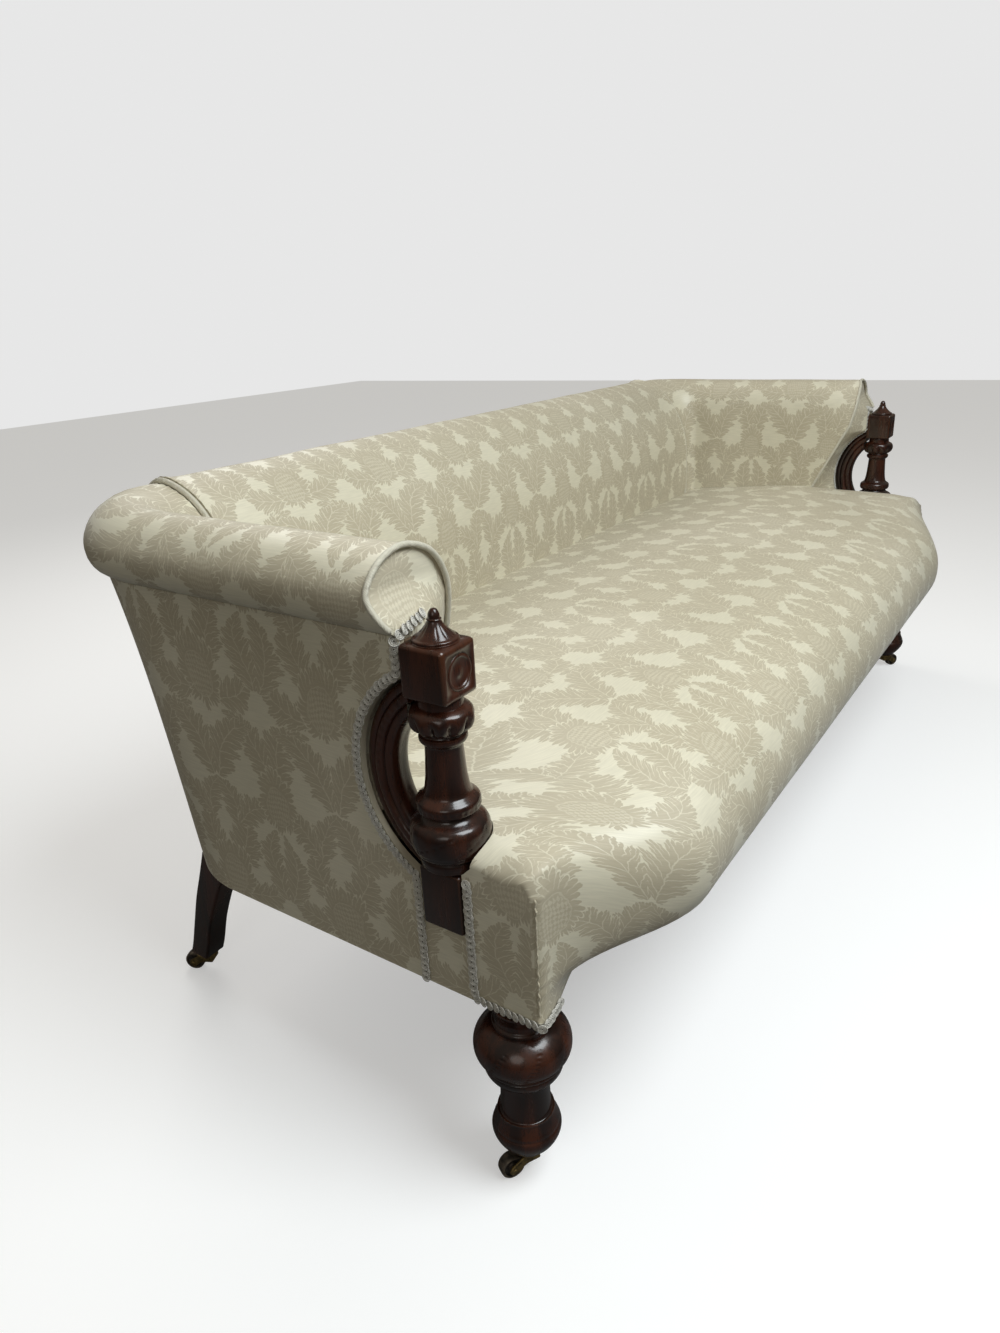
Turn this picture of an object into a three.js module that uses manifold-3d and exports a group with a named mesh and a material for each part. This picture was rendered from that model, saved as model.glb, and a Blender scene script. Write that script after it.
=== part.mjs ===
// A Victorian show-wood sofa: scrolled back and arms, turned posts with open brackets, turned front legs,
// sabre back legs and brass castors. Millimetres, +Z up. It faces -Y, X = 0 is its middle plane,
// and the origin is on the floor under the middle of the box that it fills.
import * as THREE from "three";
import { mergeVertices } from "three/addons/utils/BufferGeometryUtils.js";
import Module from "manifold-3d";

// Overall sizes
const panelHalf = 883; // middle plane to the outside face of an arm panel
const depth = 832; // front of the seat roll to the back of the back roll
const gap = 0.3; // between pieces that touch
const overrun = 5; // how far a cut runs past what it cuts
const weld = 1; // how far joined solids run into each other
const frontY = -depth / 2;
const rearY = depth / 2;

// Heights above the floor
const skirtZ = 240; // lower edge of the covers
const railLift = 6;
const railZ = skirtZ + railLift; // underside of the seat rails
const seamZ = 634; // seam under the arm and back rolls
const creaseZ = 438; // where the seat meets the back
const seatCrownZ = 466;
const underPadZ = 372; // underside of the seat stuffing, on the springs
const padFootZ = 430; // lower end of the back and arm stuffing
const rollSeat = 5.4; // a roll's frame rails under the seam
const rollFloorZ = seamZ - rollSeat;
const armRollRise = 75; // crest of an arm roll above the seam
const backRollRise = 83;
const armCrestZ = seamZ + armRollRise;
const backCrestZ = seamZ + backRollRise;

// Covers and upholstery
const panelT = 8; // outside panels: cover, wadding and board
const facingT = 8;
const pipingR = 3.6;
const pipingFootZ = creaseZ + 4 * pipingR; // where the scroll's cord goes down behind the seat
const pipingProud = 1.76; // cord beyond the back roll
const pipingLift = 1.1; // cord in front of the facing it is sewn to
const gimpWidth = 10;
const gimpHeight = 3;
const armThickness = 104; // inside arm face to outside panel face
const armRollOver = 16; // arm roll beyond the panel
const backRollOver = 30;
const rearCornerR = 159;
const backRake = 81; // how far the outside back leans out between skirt and seam
const seamRearY = rearY - backRollOver;
const cornerSetback = 101; // seat's front corner behind its roll
const cornerY = frontY + cornerSetback;
const hemTuck = 18; // front hem drawn in behind the corners
const hemTuckReach = 120; // from a corner to where it is drawn in fully
const arrisDrop = 14; // seat's side arris below its top
const creaseGap = 1;
const stuffingT = 47; // inside arm face to the frame space behind it
const backFaceR = 5; // inside back face in front of the corner's centre line

// Frame timbers
const railT = 45;
const frontRailT = 35;
const railH = 75;
const railSetback = 4; // side rails' front ends behind the wadding
const frontRailInset = 20; // front rail behind the side rails' front ends
const sideRailFrontY = cornerY + panelT + railSetback;
const frontRailY = sideRailFrontY + frontRailInset;
const backRailT = 48;
const topRailH = 30;
const armRailT = 30;
const uprightDepth = 98; // front of the back upright to the outside back
const sabreT = 34;
const sabreTopDepth = 52;
const sabreFootDepth = 36;
const uprightT = 44;
const uprightInset = 57; // back upright's middle inside the panel face
const uprightX = panelHalf - uprightInset;
const braceT = 40;
const braceH = 40;

// Posts, brackets and front legs
const postInset = 21; // post axis inside the panel face
const postX = panelHalf - postInset;
const postSetback = 214; // post axis behind the front
const postY = frontY + postSetback;
const postSide = 50;
const postFootZ = railZ + railH + gap;
const postSquareTopZ = 391;
const postBulbR = 41.5;
const postRingR = 32.5;
const blockZ = 575;
const blockH = 54;
const blockSide = 52;
const blockChamfer = 3;
const postBackY = postY + blockSide / 2 + gap;
const tenonT = 18;
const tenonW = 34;
const tenonL = 40;
const tenonInset = 7;
const tenonX = postX - tenonInset;
const bracketR = 121;
const bracketBand = 36;
const bracketT = 34;
const bracketZ = 486;
const bracketAxisSetback = 29; // bracket centre in front of the post axis
const bracketY = postY - bracketAxisSetback;
const legInset = 27;
const legSetback = 144;
const legX = panelHalf - legInset;
const legY = frontY + legSetback;
const legBulbR = 54.5;
const dowelR = 10;
const dowelL = 44;
const collarR = 16;
const finialR = 22;
const finialH = 31;
const roundelR = 18;
const roundelDepth = 3;
const armRailX = panelHalf - panelT - 2 * gap - armRailT / 2;

// Castors
const wheelR = 14.5;
const wheelW = 14;
const wheelFacets = 16;
const axleR = 2.5;
const castorTrail = 22;
const castorH = 34; // floor to the underside of a leg
const plateR = 17;
const plateT = 3.4;
const stemR = 3;
const tubeR = 6;
const tubeL = 10;
const cheekT = 2.6;
const cheekClearance = 1;
const runningGap = 0.35;
const axleZ = wheelR * Math.cos(Math.PI / wheelFacets);
const sabreFootInset = 95; // sabre foot in front of the back roll's rear
const sabreFootY = rearY - sabreFootInset;

// Seat springs and lining
const strapW = 50;
const strapT = 2;
const strapInset = 8; // strap ends inside the rails' outer edges
const wireR = 2;
const springEndR = 38;
const springWaistR = 23;
const liningT = 1.4;

// Where each castor's wheel trails at rest, in degrees from +X
const castorHeadings = { front_left: 150, front_right: -35, back_left: 115, back_right: 60 };

const wasm = await Module();
wasm.setup();

const sofa = new THREE.Group();
const finishes = {
  damask: { color: 0xd9cfae, roughness: 0.5, metalness: 0 },
  piping: { color: 0xddd4b6, roughness: 0.5, metalness: 0 },
  gimp: { color: 0xcfc8b6, roughness: 0.75, metalness: 0 },
  mahogany: { color: 0x3a1a10, roughness: 0.25, metalness: 0 },
  beech: { color: 0xb08a5c, roughness: 0.75, metalness: 0 },
  brass: { color: 0x8a6a34, roughness: 0.45, metalness: 1 },
  wheel: { color: 0x4a4036, roughness: 0.5, metalness: 0.4 },
  jute: { color: 0x8c7650, roughness: 0.95, metalness: 0 },
  lining: { color: 0x2a2a2a, roughness: 0.95, metalness: 0 },
};

function smooth(t) {
  const c = Math.min(1, Math.max(0, t));
  return c * c * (3 - 2 * c);
}

function lerp(a, b, t) {
  return a + (b - a) * t;
}

// A closed solid for cutting and joining, from any closed geometry.
function solidOf(geometry) {
  const bare = geometry.index ? geometry.toNonIndexed() : geometry.clone();
  bare.deleteAttribute("normal");
  bare.deleteAttribute("uv");
  const merged = mergeVertices(bare, 1e-4);
  const corners = merged.index.array;
  const kept = [];
  for (let i = 0; i < corners.length; i += 3) {
    const [a, b, c] = [corners[i], corners[i + 1], corners[i + 2]];
    if (a !== b && b !== c && a !== c) kept.push(a, b, c);
  }
  const vertProperties = new Float32Array(merged.attributes.position.array);
  const made = new wasm.Mesh({ numProp: 3, vertProperties, triVerts: new Uint32Array(kept) });
  return new wasm.Manifold(made);
}

function geometryOf(solid) {
  const made = solid.getMesh();
  const geometry = new THREE.BufferGeometry();
  geometry.setAttribute("position", new THREE.BufferAttribute(made.vertProperties, 3));
  geometry.setIndex(new THREE.BufferAttribute(made.triVerts, 1));
  geometry.computeVertexNormals();
  return geometry;
}

function cut(body, ...tools) {
  return geometryOf(tools.reduce((left, tool) => left.subtract(solidOf(tool)), solidOf(body)));
}

function join(...bodies) {
  return geometryOf(bodies.map(solidOf).reduce((all, one) => all.add(one)));
}

function common(a, b) {
  return geometryOf(solidOf(a).intersect(solidOf(b)));
}

function signedVolume(geometry) {
  const p = geometry.attributes.position;
  const index = geometry.index.array;
  const [a, b, c] = [new THREE.Vector3(), new THREE.Vector3(), new THREE.Vector3()];
  let sum = 0;
  for (let i = 0; i < index.length; i += 3) {
    a.fromBufferAttribute(p, index[i]);
    b.fromBufferAttribute(p, index[i + 1]);
    c.fromBufferAttribute(p, index[i + 2]);
    sum += a.dot(b.cross(c));
  }
  return sum;
}

function turnedOut(geometry) {
  if (signedVolume(geometry) < 0) {
    const index = geometry.index.array;
    for (let i = 0; i < index.length; i += 3) {
      [index[i + 1], index[i + 2]] = [index[i + 2], index[i + 1]];
    }
  }
  geometry.computeVertexNormals();
  return geometry;
}

// A solid through rings of matching points, with a cap on its first and last ring.
function loft(rings) {
  const n = rings[0].length;
  const positions = rings.flat().flatMap((p) => [p.x, p.y, p.z]);
  const index = [];
  for (let i = 0; i + 1 < rings.length; i += 1) {
    for (let j = 0; j < n; j += 1) {
      const [a, b] = [i * n + j, i * n + ((j + 1) % n)];
      index.push(a, b, b + n, a, b + n, a + n);
    }
  }
  const capOf = (ring, first, flip) => {
    const normal = new THREE.Vector3();
    ring.forEach((p, i) => {
      const q = ring[(i + 1) % n];
      normal.add(new THREE.Vector3().crossVectors(p, q));
    });
    const side = new THREE.Vector3().subVectors(ring[1], ring[0]).normalize();
    const up = new THREE.Vector3().crossVectors(normal.normalize(), side);
    const flat = ring.map((p) => new THREE.Vector2(p.dot(side), p.dot(up)));
    for (const [a, b, c] of THREE.ShapeUtils.triangulateShape(flat, [])) {
      if (flip) index.push(first + a, first + c, first + b);
      else index.push(first + a, first + b, first + c);
    }
  };
  capOf(rings[0], 0, true);
  capOf(rings[rings.length - 1], (rings.length - 1) * n, false);
  const geometry = new THREE.BufferGeometry();
  geometry.setAttribute("position", new THREE.Float32BufferAttribute(positions, 3));
  geometry.setIndex(index);
  return turnedOut(geometry);
}

function box(low, high) {
  const size = high.map((v, i) => v - low[i]);
  const middle = high.map((v, i) => (v + low[i]) / 2);
  return new THREE.BoxGeometry(...size).translate(...middle);
}

function mirrored(geometry) {
  const copy = geometry.index ? geometry.clone() : mergeVertices(geometry, 1e-4);
  copy.scale(-1, 1, 1);
  return turnedOut(copy);
}

// A turned solid about the Z axis from [radius, height] pairs that start and end on the axis.
function turned(profile, facets) {
  const points = profile.map(([r, z]) => new THREE.Vector2(r, z));
  const made = new THREE.LatheGeometry(points, facets).rotateX(Math.PI / 2);
  made.deleteAttribute("normal");
  made.deleteAttribute("uv");
  return turnedOut(mergeVertices(made, 1e-4));
}

// Pushes a turned solid's surface in between lobes, where the lobe weight of its height is over zero.
function lobed(geometry, lobes, share, weight) {
  const p = geometry.attributes.position;
  for (let i = 0; i < p.count; i += 1) {
    const angle = Math.atan2(p.getY(i), p.getX(i));
    const pull = 1 - share * weight(p.getZ(i)) * (1 - Math.abs(Math.cos((lobes * angle) / 2)));
    p.setXY(i, p.getX(i) * pull, p.getY(i) * pull);
  }
  geometry.computeVertexNormals();
  return geometry;
}

// An outline of [y, z] points given a thickness along X.
function sideExtrusion(outline, lowX, highX) {
  const ring = (x) => outline.map(([y, z]) => new THREE.Vector3(x, y, z));
  return loft([ring(lowX), ring(highX)]);
}

function tube(points, radius, sides, steps) {
  const path = new THREE.CatmullRomCurve3(points, false, "centripetal");
  const circle = new THREE.Shape();
  for (let i = 0; i < sides; i += 1) {
    const angle = (i / sides) * Math.PI * 2;
    const [x, y] = [Math.cos(angle) * radius, Math.sin(angle) * radius];
    if (i) circle.lineTo(x, y);
    else circle.moveTo(x, y);
  }
  circle.closePath();
  return new THREE.ExtrudeGeometry(circle, { steps, extrudePath: path, curveSegments: 1 });
}

// A half-round braid laid along points, each with the outward normal of what it lies on.
function braid(points, normals) {
  const sectionShares = [[-0.5, 0], [-0.38, 0.75], [0, 1], [0.38, 0.75], [0.5, 0]];
  return loft(points.map((p, i) => {
    const before = points[Math.max(0, i - 1)];
    const after = points[Math.min(points.length - 1, i + 1)];
    const along = new THREE.Vector3().subVectors(after, before).normalize();
    const across = new THREE.Vector3().crossVectors(along, normals[i]).normalize();
    return sectionShares.map(([u, v]) => p.clone()
      .addScaledVector(across, u * gimpWidth)
      .addScaledVector(normals[i], v * gimpHeight + gap));
  }));
}

function place(name, geometry, finish) {
  const mesh = new THREE.Mesh(geometry, new THREE.MeshStandardMaterial(finishes[finish]));
  mesh.name = name;
  sofa.add(mesh);
  return mesh;
}

function placePair(name, geometry, finish) {
  place(`${name}_right`, geometry, finish);
  place(`${name}_left`, mirrored(geometry), finish);
}

// Heights at which the outside panels bend, and how far each has leant out
const levelShares = [0, 0.23, 0.46, 0.66, 0.81, 0.91, 1];
const rakeShares = levelShares.map((t) => 0.75 * t + 0.25 * t ** 4);
const panelLevels = levelShares.map((t) => lerp(skirtZ, seamZ, t));

// The outside back's line at a height: raked, and curving out more near the roll
function backY(z) {
  const height = Math.min(seamZ, Math.max(skirtZ, z));
  const i = Math.max(1, panelLevels.findIndex((level) => level >= height));
  const along = (height - panelLevels[i - 1]) / (panelLevels[i] - panelLevels[i - 1]);
  return seamRearY - backRake + backRake * lerp(rakeShares[i - 1], rakeShares[i], along);
}

function levelsBetween(low, high) {
  return [low, ...panelLevels.filter((z) => z > low + gap && z < high - gap), high];
}

const cornerSteps = 7;

// The arm and back section, as [reach from the corner's centre line, height] at matching places
const cornerX = panelHalf - rearCornerR;
const cornerCentreY = seamRearY - rearCornerR;
const innerReach = rearCornerR - armThickness;
const armOuterReach = rearCornerR + armRollOver;
const backOuterReach = rearCornerR + backRollOver - pipingProud;
const armRollShares = [[0, 0], [0, 0.25], [0, 0.55], [0.02, 0.72], [0.09, 0.86], [0.27, 0.965],
  [0.54, 1], [0.8, 0.97], [0.965, 0.9], [1, 0.83], [0.96, 0.77]];
const backRollShares = [[0, 0], [0, 0.2], [0.01, 0.42], [0.06, 0.59], [0.18, 0.75], [0.35, 0.89],
  [0.55, 0.97], [0.77, 1], [0.94, 0.94], [1, 0.84], [0.96, 0.745]];

function rollLine(shares, inner, outer, crestZ) {
  const spline = new THREE.SplineCurve([
    ...shares.map(([u, v]) => new THREE.Vector2(lerp(inner, outer, u), lerp(padFootZ, crestZ, v))),
    new THREE.Vector2(rearCornerR, seamZ + gap),
  ]);
  return spline.getPoints(2 * shares.length).map((p) => [Math.min(p.x, outer), Math.min(p.y, crestZ)]);
}

// The hidden side of a section: over the outside panel's top edge, then down the frame
function frameLine(frameReach) {
  const step = backY(rollFloorZ) - cornerCentreY - panelT - gap;
  return [
    [step, seamZ + gap],
    [step, rollFloorZ],
    ...levelsBetween(padFootZ, rollFloorZ).reverse().map((z) => [frameReach(z), z]),
  ];
}

const armFrameReach = () => innerReach + stuffingT;
const backFrameReach = (z) => backY(z) - panelT - backRailT - 3 * gap - cornerCentreY;
const armRoll = rollLine(armRollShares, innerReach, armOuterReach, armCrestZ);
const backRoll = rollLine(backRollShares, backFaceR, backOuterReach, backCrestZ);
const armSection = [...armRoll, ...frameLine(armFrameReach)];
const backSection = [...backRoll, ...frameLine(backFrameReach)];

// The front of an arm: its outer edge keeps to the bracket and the block, its inner edge leans forward
const facingOuterX = panelHalf - panelT - 2 * gap;
const facingInnerX = panelHalf - armThickness;
const blockFaceY = postBackY + 4 * gap;
const scrollSetback = 50; // front of the scroll above the seam, behind the post axis
const scrollY = postY + scrollSetback;
const facingLean = 0.512;
const scrollLean = 0.2;
const facingBreakDrop = 22; // where the facing starts to turn, under the seam
const facingBreakSetback = 53; // inner edge at the break, behind the post axis
const facingBreakZ = seamZ - facingBreakDrop;
const facingBreakY = postY + facingBreakSetback;
const facingRows = 14;
const facingTopZ = armCrestZ + overrun;
const facingLevels = Array.from({ length: facingRows + 1 },
  (_, j) => lerp(padFootZ, facingTopZ, j / facingRows));

function facingOuterY(z) {
  const rise = (z - facingBreakZ) / (seamZ - facingBreakZ);
  if (rise > 0) return lerp(blockFaceY, scrollY, smooth(rise));
  const reach = (bracketR + 2 * gap) ** 2 - (z - bracketZ) ** 2;
  return Math.max(blockFaceY, bracketY + Math.sqrt(Math.max(0, reach)));
}

function facingInnerY(z) {
  return facingBreakY - (z - facingBreakZ) * (z > facingBreakZ ? scrollLean : facingLean);
}

function facingY(x, z) {
  const height = Math.min(facingLevels[facingRows], Math.max(padFootZ, z));
  const j = Math.max(1, facingLevels.findIndex((level) => level >= height));
  const along = (height - facingLevels[j - 1]) / (facingLevels[j] - facingLevels[j - 1]);
  const inward = Math.min(1, Math.max(0, (facingOuterX - x) / (facingOuterX - facingInnerX)));
  const edgeAt = (level) => lerp(facingOuterY(level), facingInnerY(level), inward);
  return lerp(edgeAt(facingLevels[j - 1]), edgeAt(facingLevels[j]), along);
}

function facingNormal(x, z) {
  const step = gimpWidth / 2;
  const overX = (facingY(x + step, z) - facingY(x - step, z)) / gimpWidth;
  const overZ = (facingY(x, z + step) - facingY(x, z - step)) / gimpWidth;
  return new THREE.Vector3(overX, -1, overZ).normalize();
}

// A slab behind the front of the arm, between two distances behind that surface
function facingSlab(near, far, lowX) {
  const columns = [lowX, facingInnerX, facingOuterX, panelHalf + armRollOver + overrun];
  const levels = [skirtZ - overrun, ...facingLevels];
  return loft(columns.map((x) => {
    const front = levels.map((z) => new THREE.Vector3(x, facingY(x, z) + near, z));
    const behind = levels.map((z) => new THREE.Vector3(x, far === null ? rearY : facingY(x, z) + far, z));
    return [...front, ...behind.reverse()];
  }));
}

function bracketSpace(lowX, highX) {
  return new THREE.CylinderGeometry(bracketR + 2 * gap, bracketR + 2 * gap, highX - lowX, 48)
    .rotateZ(Math.PI / 2).translate((lowX + highX) / 2, bracketY, bracketZ);
}

// The rigid frame under the covers
function backRailOutline(low, high, thick) {
  const levels = levelsBetween(low, high);
  const behind = levels.map((z) => [backY(z) - panelT - gap, z]);
  const front = levels.map((z) => [backY(z) - panelT - gap - thick, z]);
  return [...behind, ...front.reverse()];
}

function cutToPanels(body) {
  return cut(body, outsideOfPanel(), mirrored(outsideOfPanel()));
}

function seatFrame() {
  const railTop = railZ + railH;
  const sideOuter = panelHalf - panelT - gap;
  const sideInner = sideOuter - railT;
  const mortise = box([tenonX - tenonT / 2 - gap, postY - tenonW / 2 - gap, railTop - tenonL - gap],
    [tenonX + tenonT / 2 + gap, postY + tenonW / 2 + gap, railTop + overrun]);
  const dowelHole = new THREE.CylinderGeometry(dowelR + 2 * gap, dowelR + 2 * gap, 2 * (dowelL + gap), 16)
    .rotateX(Math.PI / 2).translate(legX, legY, railZ);
  const side = cut(box([sideInner, sideRailFrontY, railZ], [sideOuter, backLegFront(railZ) - gap, railTop]),
    mortise, dowelHole, outsideOfPanel());
  placePair("side_seat_rail", side, "beech");
  const reach = sideInner - gap;
  const frontRail = box([-reach, frontRailY, railZ], [reach, frontRailY + frontRailT, railTop]);
  place("front_seat_rail", frontRail, "beech");
  const betweenLegs = uprightX - uprightT / 2 - gap;
  const backRail = (low, high, thick) => cutToPanels(
    sideExtrusion(backRailOutline(low, high, thick), -betweenLegs, betweenLegs));
  place("back_seat_rail", backRail(railZ, railTop, frontRailT), "beech");
  const topRailZ = rollFloorZ - gap - topRailH;
  place("back_top_rail", backRail(topRailZ, rollFloorZ - gap, backRailT), "beech");
  const braceEndY = backY(railZ) - panelT - frontRailT - 2 * gap;
  place("centre_seat_brace", box([-braceT / 2, frontRailY + frontRailT + gap, railZ],
    [braceT / 2, braceEndY, railZ + braceH]), "beech");
  const upright = backRailOutline(railTop + gap, topRailZ - gap, frontRailT);
  place("back_centre_upright", sideExtrusion(upright, -braceT / 2, braceT / 2), "beech");
  const armRail = box([armRailX - armRailT / 2, postBackY, topRailZ],
    [armRailX + armRailT / 2, backLegFront(topRailZ) - gap, rollFloorZ - gap]);
  const besideBracket = bracketSpace(postX - bracketT, panelHalf);
  placePair("arm_top_rail", cut(armRail, outsideOfPanel(), besideBracket), "beech");
}

// Raked upright and sabre leg cut from one timber
function backLegFront(z) {
  return backY(z) - uprightDepth;
}

function backLegOutline(grow) {
  const top = rollFloorZ - gap + grow;
  const dropShares = [0, 0.22, 0.45, 0.68, 0.9, 1];
  const sweepShares = [0, 0.24, 0.5, 0.72, 0.9, 1];
  const topMidY = backLegFront(skirtZ) + sabreTopDepth / 2;
  const below = dropShares.map((t, i) => {
    const half = lerp(sabreTopDepth, sabreFootDepth, Math.min(1, 1.5 * t)) / 2 + grow;
    return [lerp(topMidY, sabreFootY, sweepShares[i]), lerp(skirtZ, castorH + gap, t), half];
  });
  const above = levelsBetween(skirtZ, top);
  return [
    ...above.slice(1).reverse().map((z) => [backLegFront(z) - grow, z]),
    ...below.map(([y, z, half]) => [y - half, z]),
    ...below.map(([y, z, half]) => [y + half, z]).reverse(),
    ...above.map((z) => [backY(z) - panelT, z]),
  ];
}

// Everything outside the panels' inner faces, to cut from what the panels cover
function outsideOfPanel() {
  const endX = uprightX - 4 * uprightT;
  const levels = [skirtZ - gap, ...panelLevels, seamZ + overrun];
  return loft(levels.map((z) => panelPath(z, panelT + gap, endX)
    .concat(panelPath(z, -6 * panelT, endX).reverse())));
}

// The panel's line in plan at a height, a distance inside its outer face, ending at a given X
function panelPath(z, inside, endX) {
  const r = rearCornerR - inside;
  const centreY = backY(z) - rearCornerR;
  const points = [
    new THREE.Vector3(panelHalf - inside, postY - postSide, z),
    new THREE.Vector3(panelHalf - inside, postY + postSide, z),
  ];
  for (let i = 0; i <= cornerSteps; i += 1) {
    const angle = (i / cornerSteps) * (Math.PI / 2);
    points.push(new THREE.Vector3(cornerX + r * Math.cos(angle), centreY + r * Math.sin(angle), z));
  }
  points.push(new THREE.Vector3(Math.min(endX, cornerX - gap), centreY + r, z));
  return points;
}

function castorSocket(x, y) {
  return new THREE.CylinderGeometry(tubeR + gap, tubeR + gap, 2 * (tubeL + gap), 10)
    .rotateX(Math.PI / 2).translate(x, y, castorH + gap);
}

function backLegSpace() {
  const half = uprightT / 2 + gap;
  return sideExtrusion(backLegOutline(2 * gap), uprightX - half, uprightX + half);
}

function backLegs() {
  const [lowX, highX] = [uprightX - uprightT / 2, uprightX + uprightT / 2];
  const slim = (uprightT - sabreT) / 2;
  const whole = sideExtrusion(backLegOutline(0), lowX, highX);
  const shaving = (x) => box([x, backLegFront(skirtZ) - overrun, -overrun], [x + slim, rearY, skirtZ]);
  const socket = castorSocket(uprightX, sabreFootY);
  const leg = cut(whole, outsideOfPanel(), shaving(lowX), shaving(highX - slim), socket);
  placePair("back_leg", leg, "mahogany");
}

// Turned front leg: bulb, neck and cup, with the collar and dowel that go up into the rail
function frontLegs() {
  const foot = castorH + gap;
  const shoulder = skirtZ - 2 * gap;
  const legShares = [[0.37, 0], [0.54, 0.055], [0.6, 0.075], [0.63, 0.08], [0.69, 0.15],
    [0.66, 0.21], [0.55, 0.285], [0.46, 0.295], [0.4, 0.35], [0.43, 0.405],
    [0.55, 0.425], [0.76, 0.48], [0.83, 0.53], [0.82, 0.56], [0.79, 0.565], [0.84, 0.58],
    [0.93, 0.625], [1, 0.72], [0.97, 0.81], [0.88, 0.87], [0.75, 0.915], [0.62, 0.935],
    [0.67, 0.975], [0.66, 1]];
  const profile = [
    [0, foot],
    ...legShares.map(([r, h]) => [r * legBulbR, lerp(foot, shoulder, h)]),
    [collarR, shoulder], [collarR, railZ - gap], [dowelR, railZ - gap],
    [dowelR, railZ + dowelL], [0, railZ + dowelL],
  ];
  placePair("front_leg", cut(turned(profile, 14), castorSocket(0, 0)).translate(legX, legY, 0), "mahogany");
}

// A square timber with chamfered arrises
function chamferedBlock(side, lowZ, highZ, chamfer) {
  const ring = (half, z) => {
    const c = half - chamfer;
    return [[c, half], [-c, half], [-half, c], [-half, -c], [-c, -half], [c, -half], [half, -c], [half, c]]
      .map(([x, y]) => new THREE.Vector3(x, y, z));
  };
  const half = side / 2;
  return loft([ring(half - chamfer / 2, lowZ), ring(half, lowZ + chamfer / 2),
    ring(half, highZ - chamfer / 2), ring(half - chamfer / 2, highZ)]);
}

const turningShares = [[0.66, 0.01], [0.72, 0.04], [0.7, 0.07], [0.82, 0.085], [0.95, 0.12], [1, 0.175],
  [0.95, 0.24], [0.82, 0.285], [0.62, 0.305], [0.62, 0.33], [0.74, 0.345], [0.76, 0.36],
  [0.8, 0.385], [0.74, 0.42], [0.6, 0.435], [0.51, 0.52], [0.46, 0.7],
  [0.55, 0.725], [0.58, 0.745], [0.5, 0.775]];
const bulbShares = turningShares.slice(0, 10);
const turningFootZ = postSquareTopZ - gap;
const turningH = blockZ - postSquareTopZ;
const ringLowZ = postSquareTopZ + 0.77 * turningH;
const ringHighZ = postSquareTopZ + 0.94 * turningH;

// The room that the post's bulb and lobed ring need in what stands round them
function bulbSpace() {
  const sides = 20;
  const around = (r) => (r * postBulbR + 2 * gap) / Math.cos(Math.PI / sides);
  return turned([
    [0, postSquareTopZ - 3 * gap], [around(bulbShares[1][0]), postSquareTopZ - 3 * gap],
    ...bulbShares.slice(1).map(([r, h]) => [around(r), turningFootZ + h * turningH]),
    [0, turningFootZ + bulbShares[9][1] * turningH],
  ], sides).translate(postX, postY, 0);
}

function ringSpace() {
  const wide = postRingR + 3 * gap;
  return turned([[0, ringLowZ - 3 * gap], [wide, ringLowZ - 3 * gap], [wide, ringHighZ + 3 * gap],
    [0, ringHighZ + 3 * gap]], 24).translate(postX, postY, 0);
}

// Turned arm post: square foot with a tenon, bulb, baluster, lobed ring and square block
function armPosts() {
  const turning = turned([
    [0, turningFootZ],
    ...turningShares.map(([r, h]) => [r * postBulbR, turningFootZ + h * turningH]),
    [0.5 * postBulbR, blockZ + weld], [0, blockZ + weld],
  ], 14);
  const ringShares = [[0.6, 0], [0.9, 0.16], [1, 0.5], [0.92, 0.8], [0.65, 1]];
  const ring = lobed(turned([
    [0, ringLowZ],
    ...ringShares.map(([r, h]) => [r * postRingR, lerp(ringLowZ, ringHighZ, h)]),
    [0, ringHighZ],
  ], 24), 12, 0.1, (z) => smooth(2 - 2 * Math.abs((2 * (z - ringLowZ)) / (ringHighZ - ringLowZ) - 1)));
  const square = chamferedBlock(postSide, postFootZ, postSquareTopZ, blockChamfer / 2);
  const tenon = box([tenonX - postX - tenonT / 2, -tenonW / 2, postFootZ - tenonL],
    [tenonX - postX + tenonT / 2, tenonW / 2, postFootZ + weld]);
  const block = chamferedBlock(blockSide, blockZ, blockZ + blockH, blockChamfer);
  const recess = new THREE.CylinderGeometry(roundelR + gap, roundelR + gap, 2 * roundelDepth, 20)
    .translate(0, -blockSide / 2, blockZ + blockH / 2);
  const bore = new THREE.CylinderGeometry(dowelR / 2 + gap, dowelR / 2 + gap, blockH / 2, 10)
    .rotateX(Math.PI / 2).translate(0, 0, blockZ + blockH);
  const post = cut(join(turning, ring, square, tenon, block), recess, bore);
  placePair("arm_post", post.translate(postX, postY, 0), "mahogany");
}

// Petalled finial with the pin that holds it in the block
function finials() {
  const base = blockZ + blockH + gap;
  const shares = [[0.96, 0], [1, 0.06], [0.96, 0.14], [0.8, 0.17], [0.9, 0.27], [0.8, 0.4],
    [0.42, 0.63], [0.27, 0.78], [0.17, 0.86], [0.19, 0.92], [0.12, 0.985]];
  const pinL = blockH / 4 - weld;
  const profile = [
    [0, base - pinL], [dowelR / 2, base - pinL], [dowelR / 2, base],
    ...shares.map(([r, h]) => [r * finialR, base + h * finialH]),
    [0, base + finialH],
  ];
  const petals = lobed(turned(profile, 12), 6, 0.16,
    (z) => smooth(1 - Math.abs((z - base) / finialH - 0.36) / 0.2));
  placePair("finial", petals.translate(postX, postY, 0), "mahogany");
}

// Turned roundel set in the front of the block
function roundels() {
  const shares = [[1, 0], [1, 0.95], [0.92, 1.15], [0.84, 1.1], [0.76, 0.5], [0.62, 0.6],
    [0.42, 1.1], [0.22, 0.8]];
  const face = turned([
    [0, 0],
    ...shares.map(([r, h]) => [r * roundelR, h * (roundelDepth - gap)]),
    [0, 1.25 * roundelDepth],
  ], 12);
  const made = face.rotateX(Math.PI / 2)
    .translate(postX, postY - blockSide / 2 + roundelDepth, blockZ + blockH / 2);
  placePair("roundel", made, "mahogany");
}

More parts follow.
